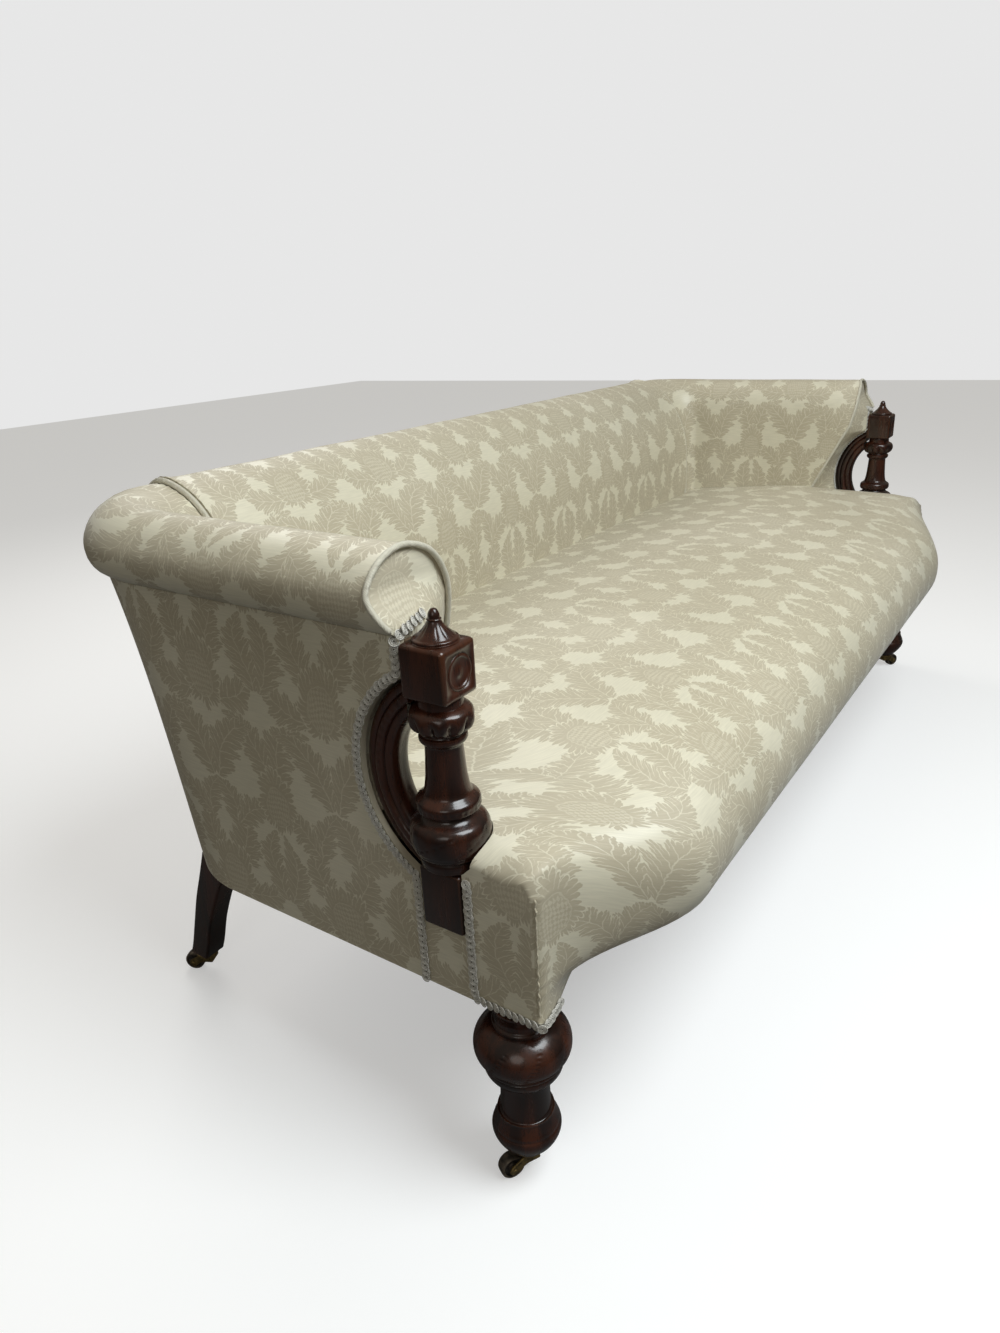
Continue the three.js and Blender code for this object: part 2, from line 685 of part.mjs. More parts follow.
// Open C bracket behind the post, with a raised bead along its middle
function brackets() {
  const bandShares = [[0, 0.2], [0.12, 0.44], [0.34, 0.44], [0.42, 0.5],
    [0.58, 0.5], [0.66, 0.44], [0.88, 0.44], [1, 0.2]];
  const section = [...bandShares, ...bandShares.map(([u, v]) => [u, -v]).reverse()];
  const reach = Math.acos((postBackY - bracketY) / bracketR) + 0.12;
  const steps = 14;
  const rings = [];
  for (let i = 0; i <= steps; i += 1) {
    const angle = lerp(-reach, reach, i / steps);
    rings.push(section.map(([u, v]) => {
      const r = bracketR - bracketBand + u * bracketBand;
      const [y, z] = [bracketY + r * Math.cos(angle), bracketZ + r * Math.sin(angle)];
      return new THREE.Vector3(postX + v * bracketT, y, z);
    }));
  }
  const inPost = box([postX - bracketT, bracketY - bracketR, 0],
    [postX + bracketT, postBackY, seamZ + overrun]);
  placePair("arm_bracket", cut(loft(rings), inPost, bulbSpace(), ringSpace()), "mahogany");
}

// A castor about its swivel axis, its wheel trailing along +X
function castors() {
  const crownZ = castorH - plateT - 2 * runningGap;
  const plate = turned([
    [0, castorH - plateT], [plateR, castorH - plateT], [plateR, castorH - plateT / 3],
    [plateR - plateT / 3, castorH], [tubeR, castorH], [tubeR, castorH + tubeL], [0, castorH + tubeL],
  ], 16);
  const bore = new THREE.CylinderGeometry(stemR + runningGap, stemR + runningGap, 2 * castorH, 10)
    .rotateX(Math.PI / 2).translate(0, 0, castorH);
  const cheekY = wheelW / 2 + cheekClearance;
  const hornShares = [[-0.45, 1], [0.25, 1], [0.62, 0.86], [1.14, 0.62], [1.3, 0.48], [1.2, 0.3], [1, 0.24],
    [0.8, 0.3], [0.5, 0.5], [0.2, 0.58], [-0.45, 0.6]];
  const horn = hornShares.map(([u, v]) => [u * castorTrail, v * crownZ]);
  const hornAt = (y) => horn.map(([x, z]) => new THREE.Vector3(x, y, z));
  const cheek = (y) => loft([hornAt(y), hornAt(y + cheekT)]);
  const crown = box([-0.45 * castorTrail, -cheekY - weld, 0.6 * crownZ],
    [0.24 * castorTrail, cheekY + weld, crownZ]);
  const stem = new THREE.CylinderGeometry(stemR, stemR, tubeL, 10)
    .rotateX(Math.PI / 2).translate(0, 0, crownZ + tubeL / 2 - weld);
  const pinHole = new THREE.CylinderGeometry(axleR, axleR, 4 * wheelW, 10).translate(castorTrail, 0, axleZ);
  const fork = cut(join(cheek(cheekY), cheek(-cheekY - cheekT), crown, stem), pinHole);
  const axleHalf = cheekY + cheekT + weld;
  const pinR = axleR - runningGap / 2;
  const axle = new THREE.CylinderGeometry(pinR, pinR, 2 * axleHalf, 10).translate(castorTrail, 0, axleZ);
  const treadShares = [[0.93, -0.5], [1, -0.3], [1, 0.3], [0.93, 0.5]];
  const wheelProfile = [
    [0, -wheelW / 2],
    ...treadShares.map(([r, w]) => [r * wheelR, w * wheelW]),
    [0, wheelW / 2],
  ];
  const hubR = axleR + runningGap / 2;
  const hubBore = new THREE.CylinderGeometry(hubR, hubR, 2 * wheelW, 10).rotateX(Math.PI / 2);
  const wheel = cut(turned(wheelProfile, wheelFacets).rotateZ(Math.PI / wheelFacets), hubBore)
    .rotateX(Math.PI / 2).translate(castorTrail, 0, axleZ);
  const parts = [["plate", cut(plate, bore), "brass"], ["fork", fork, "brass"], ["axle", axle, "brass"],
    ["wheel", wheel, "wheel"]];
  for (const [corner, heading] of Object.entries(castorHeadings)) {
    const [x, y] = corner.startsWith("front") ? [legX, legY] : [uprightX, sabreFootY];
    const at = new THREE.Group();
    at.position.set(corner.endsWith("left") ? -x : x, y, 0);
    at.rotation.z = THREE.MathUtils.degToRad(heading);
    for (const [part, geometry, finish] of parts) {
      at.add(place(`castor_${part}_${corner}`, geometry.clone(), finish));
    }
    sofa.add(at);
  }
}

// How far the seat's front swells beyond its corners at a distance from the middle plane, and how much of
// its full section it has there. The stuffing has settled, and the roll dies away sooner at the right end.
function seatSwell(x) {
  const [swellKept, crownKept] = x < 0 ? [0.783, 0.72] : [0.57, 0.86];
  const endwards = (kept) => (Math.abs(x) / panelHalf - kept) / (1 - kept);
  const crown = 1 - 0.9 * smooth(1.05 * endwards(crownKept) + 0.05);
  return [cornerSetback * (1 - smooth(endwards(swellKept))), crown];
}

const padH = seatCrownZ - skirtZ;
const frontShares = [0, 0.052, 0.266, 0.367, 0.495, 0.64, 0.785, 0.885, 0.955];
const endShares = [0, 0.126, 0.219, 0.33, 0.487, 0.61, 0.7, 0.745, 0.765];
const swellShares = [-0.066, 0.154, 0.804, 0.938, 1, 0.95, 0.74, 0.37, -0.2];
const tuckShares = [1, 0.84, 0.34, 0, 0, 0, 0, 0, 0];
const cornerTopShare = endShares[endShares.length - 1];

function arrisAt(x) {
  return arrisDrop * smooth((Math.abs(x) / panelHalf - 0.95) / 0.05) ** 3;
}

// The front of the seat in section, from its hem up over the roll
function seatFront(x) {
  const [swell, crown] = seatSwell(x);
  const tuck = hemTuck * smooth((panelHalf - Math.abs(x)) / hemTuckReach);
  return swellShares.map((s, i) => {
    const height = lerp(endShares[i], frontShares[i], crown) * padH;
    return [cornerY - s * swell + tuckShares[i] * tuck, skirtZ + height - (i > 5 ? arrisAt(x) : 0)];
  });
}

function seatFrontY(x, z) {
  const front = seatFront(x);
  const i = front.findIndex(([, level]) => level > z);
  const [[lowY, lowZ], [highY, highZ]] = [front[i - 1], front[i]];
  return lerp(lowY, highY, (z - lowZ) / (highZ - lowZ));
}

// Sprung seat: crowned top, a rolled front edge that swells between the corners, hollow underneath
function seatPad() {
  const topShares = [[0.3, 1], [0.47, 1.01], [0.66, 0.975], [0.84, 0.93], [0.95, 0.89], [1, 0.84]];
  const padRearY = cornerCentreY + backFaceR - creaseGap;
  const stationShares = [0, 0.2, 0.4, 0.56, 0.68, 0.76, 0.83, 0.885, 0.925, 0.955, 0.977, 0.992, 1];
  const ringAt = (x) => {
    const [, crown] = seatSwell(x);
    const top = topShares.map(([u, h]) => [lerp(cornerY, padRearY, u),
      skirtZ + lerp(cornerTopShare, h, crown) * padH - arrisAt(x)]);
    const line = [...seatFront(x), ...top, [padRearY, skirtZ]];
    return line.map(([y, z]) => new THREE.Vector3(x, y, z));
  };
  const half = stationShares.map((s) => s * panelHalf);
  const stations = [...half.slice(1).reverse().map((x) => -x), ...half];
  const inside = panelHalf - panelT;
  const endInside = inside - gap - railT;
  const hollow = box([-inside, frontRailY - gap, skirtZ - overrun], [inside, rearY, underPadZ]);
  const endHollow = box([endInside - gap, sideRailFrontY - gap, skirtZ - overrun],
    [inside, rearY, underPadZ]);
  const postFront = postY - postSide / 2 - 2 * gap;
  const postSpace = box([postX - postSide / 2 - 2 * gap, postFront, skirtZ - overrun],
    [panelHalf + overrun, rearY, seamZ]);
  const belowPost = box([inside, postFront - 4 * gap, skirtZ - overrun],
    [panelHalf + overrun, postY, postFootZ]);
  const armSpace = facingSlab(-2 * gap, null, facingInnerX - 3 * gap);
  const pipingFootY = facingY(facingInnerX, pipingFootZ);
  const pipingSpace = box([facingInnerX - 2 * pipingR, pipingFootY - 5 * pipingR, pipingFootZ],
    [facingOuterX, pipingFootY + 3 * pipingR, seamZ]);
  const ends = [endHollow, postSpace, belowPost, armSpace, pipingSpace, bulbSpace()];
  place("seat_pad", cut(loft(stations.map(ringAt)), hollow, ...ends, ...ends.map(mirrored)), "damask");
}

function sectionAt(section, x, y, outX, outY) {
  return section.map(([reach, z]) => new THREE.Vector3(x + reach * outX, y + reach * outY, z));
}

function backPad() {
  const halfLength = cornerX - 2 * pipingR - gap;
  const stationShares = [-1, -0.6, 0, 0.6, 1];
  const rings = stationShares.map((s) => sectionAt(backSection, s * halfLength, cornerCentreY, 0, 1));
  place("back_pad", loft(rings), "damask");
}

// Arm stuffing and roll, swept back along the arm and round the rear corner
function armPads() {
  const riseShare = 0.25; // of the way to the back's crest where the corner begins
  const startY = postY - overrun;
  const alongShares = [0, 0.45, 0.75];
  const rings = alongShares.map((t) => armRing(0, riseShare * smooth(t))
    .map((p) => p.setY(lerp(startY, cornerCentreY, t))));
  for (let i = 0; i <= cornerSteps; i += 1) {
    rings.push(armRing((i / cornerSteps) * (Math.PI / 2), lerp(riseShare, 1, i / cornerSteps)));
  }
  const inFront = facingSlab(-2 * armThickness, facingT + gap, facingInnerX - 2 * overrun);
  placePair("arm_pad", cut(loft(rings), inFront, backLegSpace()), "damask");
}

function armRing(angle, rise) {
  const turn = smooth(angle / (Math.PI / 2));
  return armSection.map(([reach, z], i) => {
    const [backReach, backZ] = backSection[i];
    const r = lerp(reach, backReach, turn);
    const [x, y] = [cornerX + r * Math.cos(angle), cornerCentreY + r * Math.sin(angle)];
    return new THREE.Vector3(x, y, lerp(z, backZ, rise));
  });
}

function scrollFacings() {
  const footZ = padFootZ + 2 * gap;
  const outline = [
    ...armRoll.map(([reach, z]) => [cornerX + reach, z]),
    [facingOuterX, seamZ + gap], [facingOuterX, footZ],
  ];
  const farY = postY - armThickness;
  const region = loft([farY, 0].map((y) => outline
    .map(([x, z]) => new THREE.Vector3(Math.max(x, facingInnerX + gap), y, Math.max(z, footZ)))));
  const railSpace = box([armRailX - armRailT / 2 - gap, farY, rollFloorZ - topRailH - 2 * gap],
    [armRailX + armRailT / 2 + gap, 0, rollFloorZ + gap]);
  const slab = facingSlab(0, facingT, facingInnerX - 2 * overrun);
  const bracket = bracketSpace(postX - bracketT / 2 - 2 * gap, panelHalf + overrun);
  placePair("scroll_facing", cut(common(region, slab), railSpace, bracket), "damask");
}

// Cord round the scroll and down the inside edge of the arm's front
function scrollPipings() {
  const lowOutside = seamZ + pipingR + 2 * gap;
  const path = armRoll
    .filter(([reach, z]) => z > (reach > rearCornerR / 2 ? lowOutside : pipingFootZ))
    .map(([reach, z]) => {
      const x = cornerX + reach;
      return new THREE.Vector3(x, facingY(x, z) - pipingR - pipingLift, z);
    });
  placePair("scroll_piping", tube(path, pipingR, 6, 28), "piping");
}

// Cord in the seam between the back and each arm
function backPipings() {
  const path = backRoll
    .filter(([, z]) => z > creaseZ + 4 * pipingR)
    .map(([reach, z]) => new THREE.Vector3(cornerX - pipingR - gap / 2, cornerCentreY + reach, z));
  placePair("back_piping", tube(path, pipingR - gap, 6, 22), "piping");
}

function outsidePanels() {
  const ringAt = (z) => [...panelPath(z, 0, cornerX), ...panelPath(z, panelT, cornerX).reverse()];
  const shell = loft(panelLevels.map(ringAt));
  const postSpace = box([panelHalf - 3 * panelT, postY - 2 * postSide, postFootZ - 4 * gap],
    [panelHalf + panelT, postBackY + gap, seamZ + overrun]);
  const ahead = box([panelHalf - 3 * panelT, postY - 2 * postSide, skirtZ - overrun],
    [panelHalf + panelT, postY - postSide / 2 - 5 * gap, postFootZ]);
  const arm = cut(shell, postSpace, ahead, bracketSpace(panelHalf - 3 * panelT, panelHalf + panelT));
  placePair("outside_arm", arm, "damask");
  const half = cornerX - 3 * gap;
  const outer = panelLevels.map((z) => [backY(z), z]);
  const inner = panelLevels.map((z) => [backY(z) - panelT, z]).reverse();
  place("outside_back", sideExtrusion([...outer, ...inner], -half, half), "damask");
}

// Scroll braid that covers the edges of the cover against the show-wood
function gimps() {
  const outward = new THREE.Vector3(1, 0, 0);
  const forward = new THREE.Vector3(0, -1, 0);
  const ride = bracketR + gimpWidth / 2 + 2 * gap;
  const behindPostY = postBackY + gimpWidth / 2 + 2 * gap;
  const reach = Math.acos((behindPostY - bracketY) / ride);
  const steps = 12;
  const along = [];
  for (let i = 0; i <= steps; i += 1) {
    const angle = lerp(reach, -reach, i / steps);
    along.push([bracketY + ride * Math.cos(angle), bracketZ + ride * Math.sin(angle)]);
  }
  along.unshift([behindPostY, seamZ - gimpWidth]);
  along.push([behindPostY, postFootZ], [behindPostY, skirtZ + 2 * gap]);
  const onPanel = along.map(([y, z]) => new THREE.Vector3(panelHalf, y, z));
  placePair("gimp_bracket", braid(onPanel, onPanel.map(() => outward)), "gimp");

  const edgeY = postY - postSide / 2 - gimpWidth / 2 - 8 * gap;
  const hemZ = skirtZ + gimpWidth / 2;
  const down = [postSquareTopZ - 4 * gap, postFootZ, hemZ + gimpWidth];
  const aheadShares = [0.12, 0.3, 0.6, 0.93];
  const hemShares = [0.99, 0.975, 0.96, 0.945, 0.93];
  const hemLevels = [skirtZ + gap, skirtZ + gimpWidth];
  const hemFrontY = (x) => Math.min(...hemLevels.map((z) => seatFrontY(x, z))) - 4 * gap;
  const hem = [
    ...down.map((z) => [new THREE.Vector3(panelHalf, edgeY, z), outward]),
    ...aheadShares.map((t) => [new THREE.Vector3(panelHalf, lerp(edgeY, cornerY, t), hemZ), outward]),
    [new THREE.Vector3(panelHalf, cornerY, hemZ), new THREE.Vector3(1, -1, 0).normalize()],
    ...hemShares.map((s) => [new THREE.Vector3(s * panelHalf, hemFrontY(s * panelHalf), hemZ), forward]),
  ];
  placePair("gimp_front", braid(hem.map(([p]) => p), hem.map(([, n]) => n)), "gimp");

  const stripX = postX - bracketT / 2 - gimpWidth / 2 - 4 * gap;
  const [stripLow, stripHigh] = [creaseZ + gimpWidth, seamZ + gimpWidth];
  const between = facingLevels.filter((z) => z > stripLow + gap && z < stripHigh - gap);
  const strip = [stripLow, ...between, stripHigh]
    .map((z) => new THREE.Vector3(stripX, facingY(stripX, z), z));
  const onFacing = braid(strip, strip.map((p) => facingNormal(p.x, p.z)));
  placePair("gimp_facing", cut(onFacing, facingSlab(-gap, facingT, facingInnerX)), "gimp");
}

// Interlaced webbing under the rails, with the coil springs that stand on it
function webbingAndSprings() {
  const zLow = railZ - gap - strapT;
  const frontEnd = frontRailY + strapInset;
  const rearEnd = backY(railZ) - panelT - strapInset;
  const sideEnd = panelHalf - panelT - strapInset;
  const springX = [-0.75, -0.25, 0.25, 0.75].map((s) => s * (sideEnd - railT - strapW / 2));
  const springY = [0.27, 0.73].map((s) => lerp(frontEnd, rearEnd, s));
  const straps = [
    ...springX.map((x) => box([x - strapW / 2, frontEnd, zLow], [x + strapW / 2, rearEnd, zLow + strapT])),
    ...springY.map((y) => box([-sideEnd, y - strapW / 2, zLow], [sideEnd, y + strapW / 2, zLow + strapT])),
  ];
  const [turns, stepsPerTurn] = [3, 5];
  const lowWire = zLow + strapT + 0.6 * wireR;
  const highWire = underPadZ - gap - wireR;
  const triangleShares = [[1, 0], [-0.5, 0.87], [-0.5, -0.87]];
  const coil = (x, y) => {
    const rings = [];
    for (let i = 0; i <= turns * stepsPerTurn; i += 1) {
      const t = i / (turns * stepsPerTurn);
      const angle = t * turns * Math.PI * 2;
      const [c, s] = [Math.cos(angle), Math.sin(angle)];
      const r = lerp(springWaistR, springEndR, Math.abs(2 * t - 1));
      const wireZ = lerp(lowWire, highWire, smooth(t));
      rings.push(triangleShares.map(([u, v]) => {
        const reach = r + u * wireR;
        return new THREE.Vector3(x + reach * c, y + reach * s, wireZ + v * wireR);
      }));
    }
    return loft(rings);
  };
  const coils = springX.flatMap((x) => springY.map((y) => coil(x, y)));
  place("webbing_and_springs", join(...straps, ...coils), "jute");
}

// Black lining over the underside, cut round the legs
function dustCover() {
  const zLow = skirtZ + gap;
  const [half, front] = [panelHalf - panelT - gap, frontRailY];
  const [rear, shoulderY] = [backY(skirtZ) - panelT - 2 * liningT, 0.6 * cornerCentreY];
  const corners = [[-half, front], [half, front], [half, shoulderY], [cornerX, rear], [-cornerX, rear],
    [-half, shoulderY]];
  const sheet = loft([zLow, zLow + liningT].map((z) => corners.map(([x, y]) => new THREE.Vector3(x, y, z))));
  const aroundCollar = new THREE.CylinderGeometry(collarR + gap, collarR + gap, 4 * overrun, 16)
    .rotateX(Math.PI / 2).translate(legX, legY, skirtZ);
  const around = [aroundCollar, backLegSpace()];
  place("dust_cover", cut(sheet, ...around, ...around.map(mirrored)), "lining");
}

seatFrame();
backLegs();
frontLegs();
armPosts();
finials();
roundels();
brackets();
castors();
seatPad();
backPad();
armPads();
scrollFacings();
scrollPipings();
backPipings();
outsidePanels();
gimps();
webbingAndSprings();
dustCover();

export default sofa;
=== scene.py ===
"""The finished look of a Victorian show-wood sofa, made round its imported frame. Metres, +Z up."""
import functools
import math

import bmesh
import bpy
import numpy as np
from mathutils import Matrix, Vector


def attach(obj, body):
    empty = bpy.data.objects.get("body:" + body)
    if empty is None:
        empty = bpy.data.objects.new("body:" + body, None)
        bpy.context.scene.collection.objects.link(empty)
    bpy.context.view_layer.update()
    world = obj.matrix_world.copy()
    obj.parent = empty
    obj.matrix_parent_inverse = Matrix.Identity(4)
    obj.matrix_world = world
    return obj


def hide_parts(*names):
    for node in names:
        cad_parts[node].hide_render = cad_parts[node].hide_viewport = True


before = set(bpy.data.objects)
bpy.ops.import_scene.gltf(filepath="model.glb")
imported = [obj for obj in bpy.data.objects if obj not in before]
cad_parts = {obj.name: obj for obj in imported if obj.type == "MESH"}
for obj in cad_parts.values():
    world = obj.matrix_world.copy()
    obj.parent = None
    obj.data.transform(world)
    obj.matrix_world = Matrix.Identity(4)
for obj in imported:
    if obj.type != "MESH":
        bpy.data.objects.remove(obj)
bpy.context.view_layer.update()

# Driving sizes, in metres, as the frame has them
SKIRT_Z = 0.240
SEAM_Z = 0.634
CREASE_Z = 0.438
PAD_FOOT_Z = 0.430
SEAT_CROWN_Z = 0.466
ARM_CREST_Z = 0.709
BACK_CREST_Z = 0.717
PANEL_X = 0.883
FRONT_Y = -0.416
REAR_Y = 0.416
CORNER_SETBACK = 0.101
CORNER_Y = FRONT_Y + CORNER_SETBACK
ARM_THICKNESS = 0.104
ARM_ROLL_OVER = 0.016
BACK_ROLL_OVER = 0.030
PIPING_PROUD = 0.00176
REAR_CORNER_R = 0.159
BACK_RAKE = 0.081
SEAM_REAR_Y = REAR_Y - BACK_ROLL_OVER
CORNER_X = PANEL_X - REAR_CORNER_R
CORNER_CENTRE_Y = SEAM_REAR_Y - REAR_CORNER_R
INNER_REACH = REAR_CORNER_R - ARM_THICKNESS
ARM_OUTER_REACH = REAR_CORNER_R + ARM_ROLL_OVER
BACK_OUTER_REACH = REAR_CORNER_R + BACK_ROLL_OVER - PIPING_PROUD
BACK_FACE_R = 0.005
PANEL_T = 0.008
FACING_T = 0.008
PIPING_R = 0.0036
POST_X = 0.862
POST_Y = -0.202
POST_SIDE = 0.050
BLOCK_SIDE = 0.052
BLOCK_Z = 0.575
BLOCK_H = 0.054
POST_FOOT_Z = 0.3213
SQUARE_TOP_Z = 0.391
BULB_R = 0.0415
RING_R = 0.0325
POST_BACK_Y = POST_Y + BLOCK_SIDE / 2
BRACKET_R = 0.121
BRACKET_BAND = 0.036
BRACKET_T = 0.034
BRACKET_Z = 0.486
BRACKET_Y = POST_Y - 0.029
LEG_X = 0.856
LEG_Y = -0.272
SABRE_X = 0.826
SABRE_FOOT_Y = 0.321
CASTOR_H = 0.034
CASTOR_TRAIL = 0.022
WHEEL_R = 0.0145
WHEEL_W = 0.014
CASTOR_HEADINGS = {"front_left": 150, "front_right": -35, "back_left": 115, "back_right": 60}
SIDES = {"right": 1, "left": -1}
HAIR = 0.0003
MM = 0.001
QUARTER = math.pi / 2
POST_AT = (POST_X, POST_Y, 0)

# The camera: place, direction, roll and lens
CAMERA_AT = (-1.45745, -0.69502, 0.90834)
CAMERA_YAW = math.radians(54.663)
CAMERA_PITCH = math.radians(21.827)
CAMERA_ROLL = math.radians(-3.085)
CAMERA_LENS = 24.12
SENSOR = 36


def add_camera():
    cy, sy = math.cos(CAMERA_YAW), math.sin(CAMERA_YAW)
    cp, sp = math.cos(CAMERA_PITCH), math.sin(CAMERA_PITCH)
    c, s = math.cos(CAMERA_ROLL), math.sin(CAMERA_ROLL)
    ahead, right = Vector((sy * cp, cy * cp, -sp)), Vector((cy, -sy, 0))
    up = right.cross(ahead)
    data = bpy.data.cameras.new("camera")
    data.sensor_width, data.lens = SENSOR, CAMERA_LENS
    data.clip_start, data.clip_end = 0.05, 50
    camera = link("camera", data)
    turn = Matrix((right * c + up * s, up * c - right * s, -ahead)).transposed()
    camera.matrix_world = Matrix.Translation(CAMERA_AT) @ turn.to_4x4()
    bpy.context.scene.camera = camera


# Sums and meshes


def smooth(t):
    c = np.clip(t, 0, 1)
    return c * c * (3 - 2 * c)


def lerp(a, b, t):
    return a + (b - a) * t


def bell(x, width):
    return np.exp(-(x / width) ** 2)


def curve_through(points, count):
    """Points spread evenly along a smooth curve through the given ones."""
    p = np.asarray(points, float)
    padded = np.vstack([2 * p[0] - p[1], p, 2 * p[-1] - p[-2]])
    t = np.linspace(0, 1, 12, endpoint=False)[:, None]
    fine = [0.5 * (2 * b + (c - a) * t + (2 * a - 5 * b + 4 * c - d) * t ** 2
                   + (3 * b - a - 3 * c + d) * t ** 3)
            for a, b, c, d in zip(padded, padded[1:], padded[2:], padded[3:])]
    fine = np.vstack([*fine, p[-1:]])
    far = lengths_along(fine)
    return along_line(np.linspace(0, far[-1], count), far, fine)


def lengths_along(points):
    """How far each point lies along its line, for one line or for each line of a grid."""
    steps = np.linalg.norm(np.diff(points, axis=-2), axis=-1)
    start = np.zeros(steps.shape[:-1] + (1,))
    return np.concatenate([start, np.cumsum(steps, axis=-1)], axis=-1)


def along_line(at, far, values):
    """Values, known at the lengths in far, read off at other lengths."""
    return np.stack([np.interp(at, far, column) for column in np.transpose(values)], axis=1)


def unit(vectors):
    return vectors / np.linalg.norm(vectors, axis=1)[:, None]


def link(name, data):
    made = bpy.data.objects.new(name, data)
    bpy.context.scene.collection.objects.link(made)
    return made


def faces_out(mesh):
    """Turns a closed mesh's faces outwards."""
    work = bmesh.new()
    work.from_mesh(mesh)
    bmesh.ops.remove_doubles(work, verts=work.verts, dist=1e-6)
    bmesh.ops.recalc_face_normals(work, faces=work.faces)
    if work.calc_volume(signed=True) < 0:
        bmesh.ops.reverse_faces(work, faces=work.faces)
    work.to_mesh(mesh)
    work.free()


def solid(name, rings, uv=None, caps=True):
    """A smooth closed skin over rings of points, from its first ring to its last, with a cloth map."""
    grid = np.asarray(rings, float)
    levels, count = grid.shape[:2]
    uv = np.zeros((levels, count + 1, 2)) if uv is None else np.asarray(uv, float)
    faces, face_uv = [], []
    for i in range(levels - 1):
        for j in range(count):
            low, high, k = i * count, (i + 1) * count, (j + 1) % count
            faces.append((low + j, low + k, high + k, high + j))
            face_uv += [uv[i, j], uv[i, j + 1], uv[i + 1, j + 1], uv[i + 1, j]]
    for i in (0, levels - 1) if caps else ():
        faces.append(tuple(range(i * count, (i + 1) * count)))
        face_uv += [uv[i, j] for j in range(count)]
    mesh = bpy.data.meshes.new(name)
    mesh.from_pydata(grid.reshape(-1, 3).tolist(), [], faces)
    mesh.uv_layers.new(name="cloth").data.foreach_set("uv", np.asarray(face_uv, np.float32).ravel())
    faces_out(mesh)
    mesh.polygons.foreach_set("use_smooth", [True] * len(mesh.polygons))
    return link(name, mesh)


def at_height(line, z):
    """A line in plan, lifted to a height."""
    return np.column_stack([line, np.full(len(line), z)])


def crisp(piece, degrees=50):
    """Keeps corners sharper than an angle hard, and everything else smooth."""
    work = bmesh.new()
    work.from_mesh(piece.data)
    for edge in work.edges:
        if len(edge.link_faces) == 2:
            edge.smooth = edge.calc_face_angle() < math.radians(degrees)
    work.to_mesh(piece.data)
    work.free()
    return piece


def joined(name, pieces):
    """One object from several, with their meshes and cloth maps kept."""
    work = bmesh.new()
    for piece in pieces:
        work.from_mesh(piece.data)
        bpy.data.objects.remove(piece)
    mesh = bpy.data.meshes.new(name)
    work.to_mesh(mesh)
    work.free()
    return link(name, mesh)


def moved(piece, place, angle=0, axis="Z"):
    """Turns a piece about an axis through the origin, then shifts it."""
    piece.data.transform(Matrix.Translation(place) @ Matrix.Rotation(angle, 4, axis))
    return piece


def finish_piece(piece, finish, *nodes, body="frame"):
    """Gives a piece its finish, its moving part and the frame's nodes that it stands for."""
    # Blender numbers a name that the frame's own finish has already
    slot = finish.name.split(".")[0]
    piece.data.materials.clear()
    piece.data.materials.append(finish)
    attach(piece, body)
    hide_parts(*nodes)
    return piece


def both_sides(piece, name, finish):
    """Finishes a right-hand piece and its mirror image."""
    mesh = piece.data.copy()
    mesh.transform(Matrix.Scale(-1, 4, (1, 0, 0)))
    mesh.flip_normals()
    piece.name = f"{name}_right"
    for made, side in ((piece, "right"), (link(f"{name}_left", mesh), "left")):
        stands_for = name.replace("cushion", "pad")
        finish_piece(made, finish, f"{stands_for}_{side}")


def apply_modifiers(piece):
    graph = bpy.context.evaluated_depsgraph_get()
    mesh = bpy.data.meshes.new_from_object(piece.evaluated_get(graph))
    piece.modifiers.clear()
    piece.data = mesh
    return piece


def cut_away(piece, *tools):
    """Cuts tools out of a piece and removes them."""
    for tool in tools:
        cutter = piece.modifiers.new("cut", "BOOLEAN")
        cutter.operation, cutter.solver, cutter.object = "DIFFERENCE", "MANIFOLD", tool
    apply_modifiers(piece)
    for tool in tools:
        bpy.data.objects.remove(tool)
    return piece


BOX_FACES = ((0, 1, 3, 2), (4, 6, 7, 5), (0, 4, 5, 1), (2, 3, 7, 6), (0, 2, 6, 4), (1, 5, 7, 3))


def block(low, high):
    """A plain box, for cutting and for hidden timber."""
    corners = [(x, y, z) for x in (low[0], high[0]) for y in (low[1], high[1]) for z in (low[2], high[2])]
    mesh = bpy.data.meshes.new("block")
    mesh.from_pydata(corners, [], BOX_FACES)
    faces_out(mesh)
    return link("block", mesh)


def lathe(name, profile, sides, at=(0, 0, 0), carve=None, steps=None):
    """A turned solid. carve(angle, r, z) gives a new radius."""
    profile = np.asarray(profile, float)
    if steps:
        profile = np.maximum(curve_through(profile, steps), [0, -9])
    angles = np.linspace(0, 2 * math.pi, sides, endpoint=False)
    rings = []
    for r, z in profile:
        reach = np.full(sides, r) if carve is None or r < 1e-4 else carve(angles, r, z)
        x, y = at[0] + reach * np.cos(angles), at[1] + reach * np.sin(angles)
        rings.append(np.column_stack([x, y, np.full(sides, at[2] + z)]))
    return crisp(solid(name, rings, caps=bool((profile[0] != profile[-1]).any())), 48)


def drum(radius, low, high, sides=24, at=(0, 0, 0)):
    """A plain cylinder, for rooms, bores and pins."""
    return lathe("drum", [(0, low), (radius, low), (radius, high), (0, high)], sides, at)


def bracket_room(x, half):
    """The round room of the bracket, across the sofa from x - 0.03 to x + half."""
    return moved(drum(BRACKET_R + 2 * HAIR, -0.03, half, 90), (x, BRACKET_Y, BRACKET_Z), QUARTER, "Y")


# Lines of the upholstery

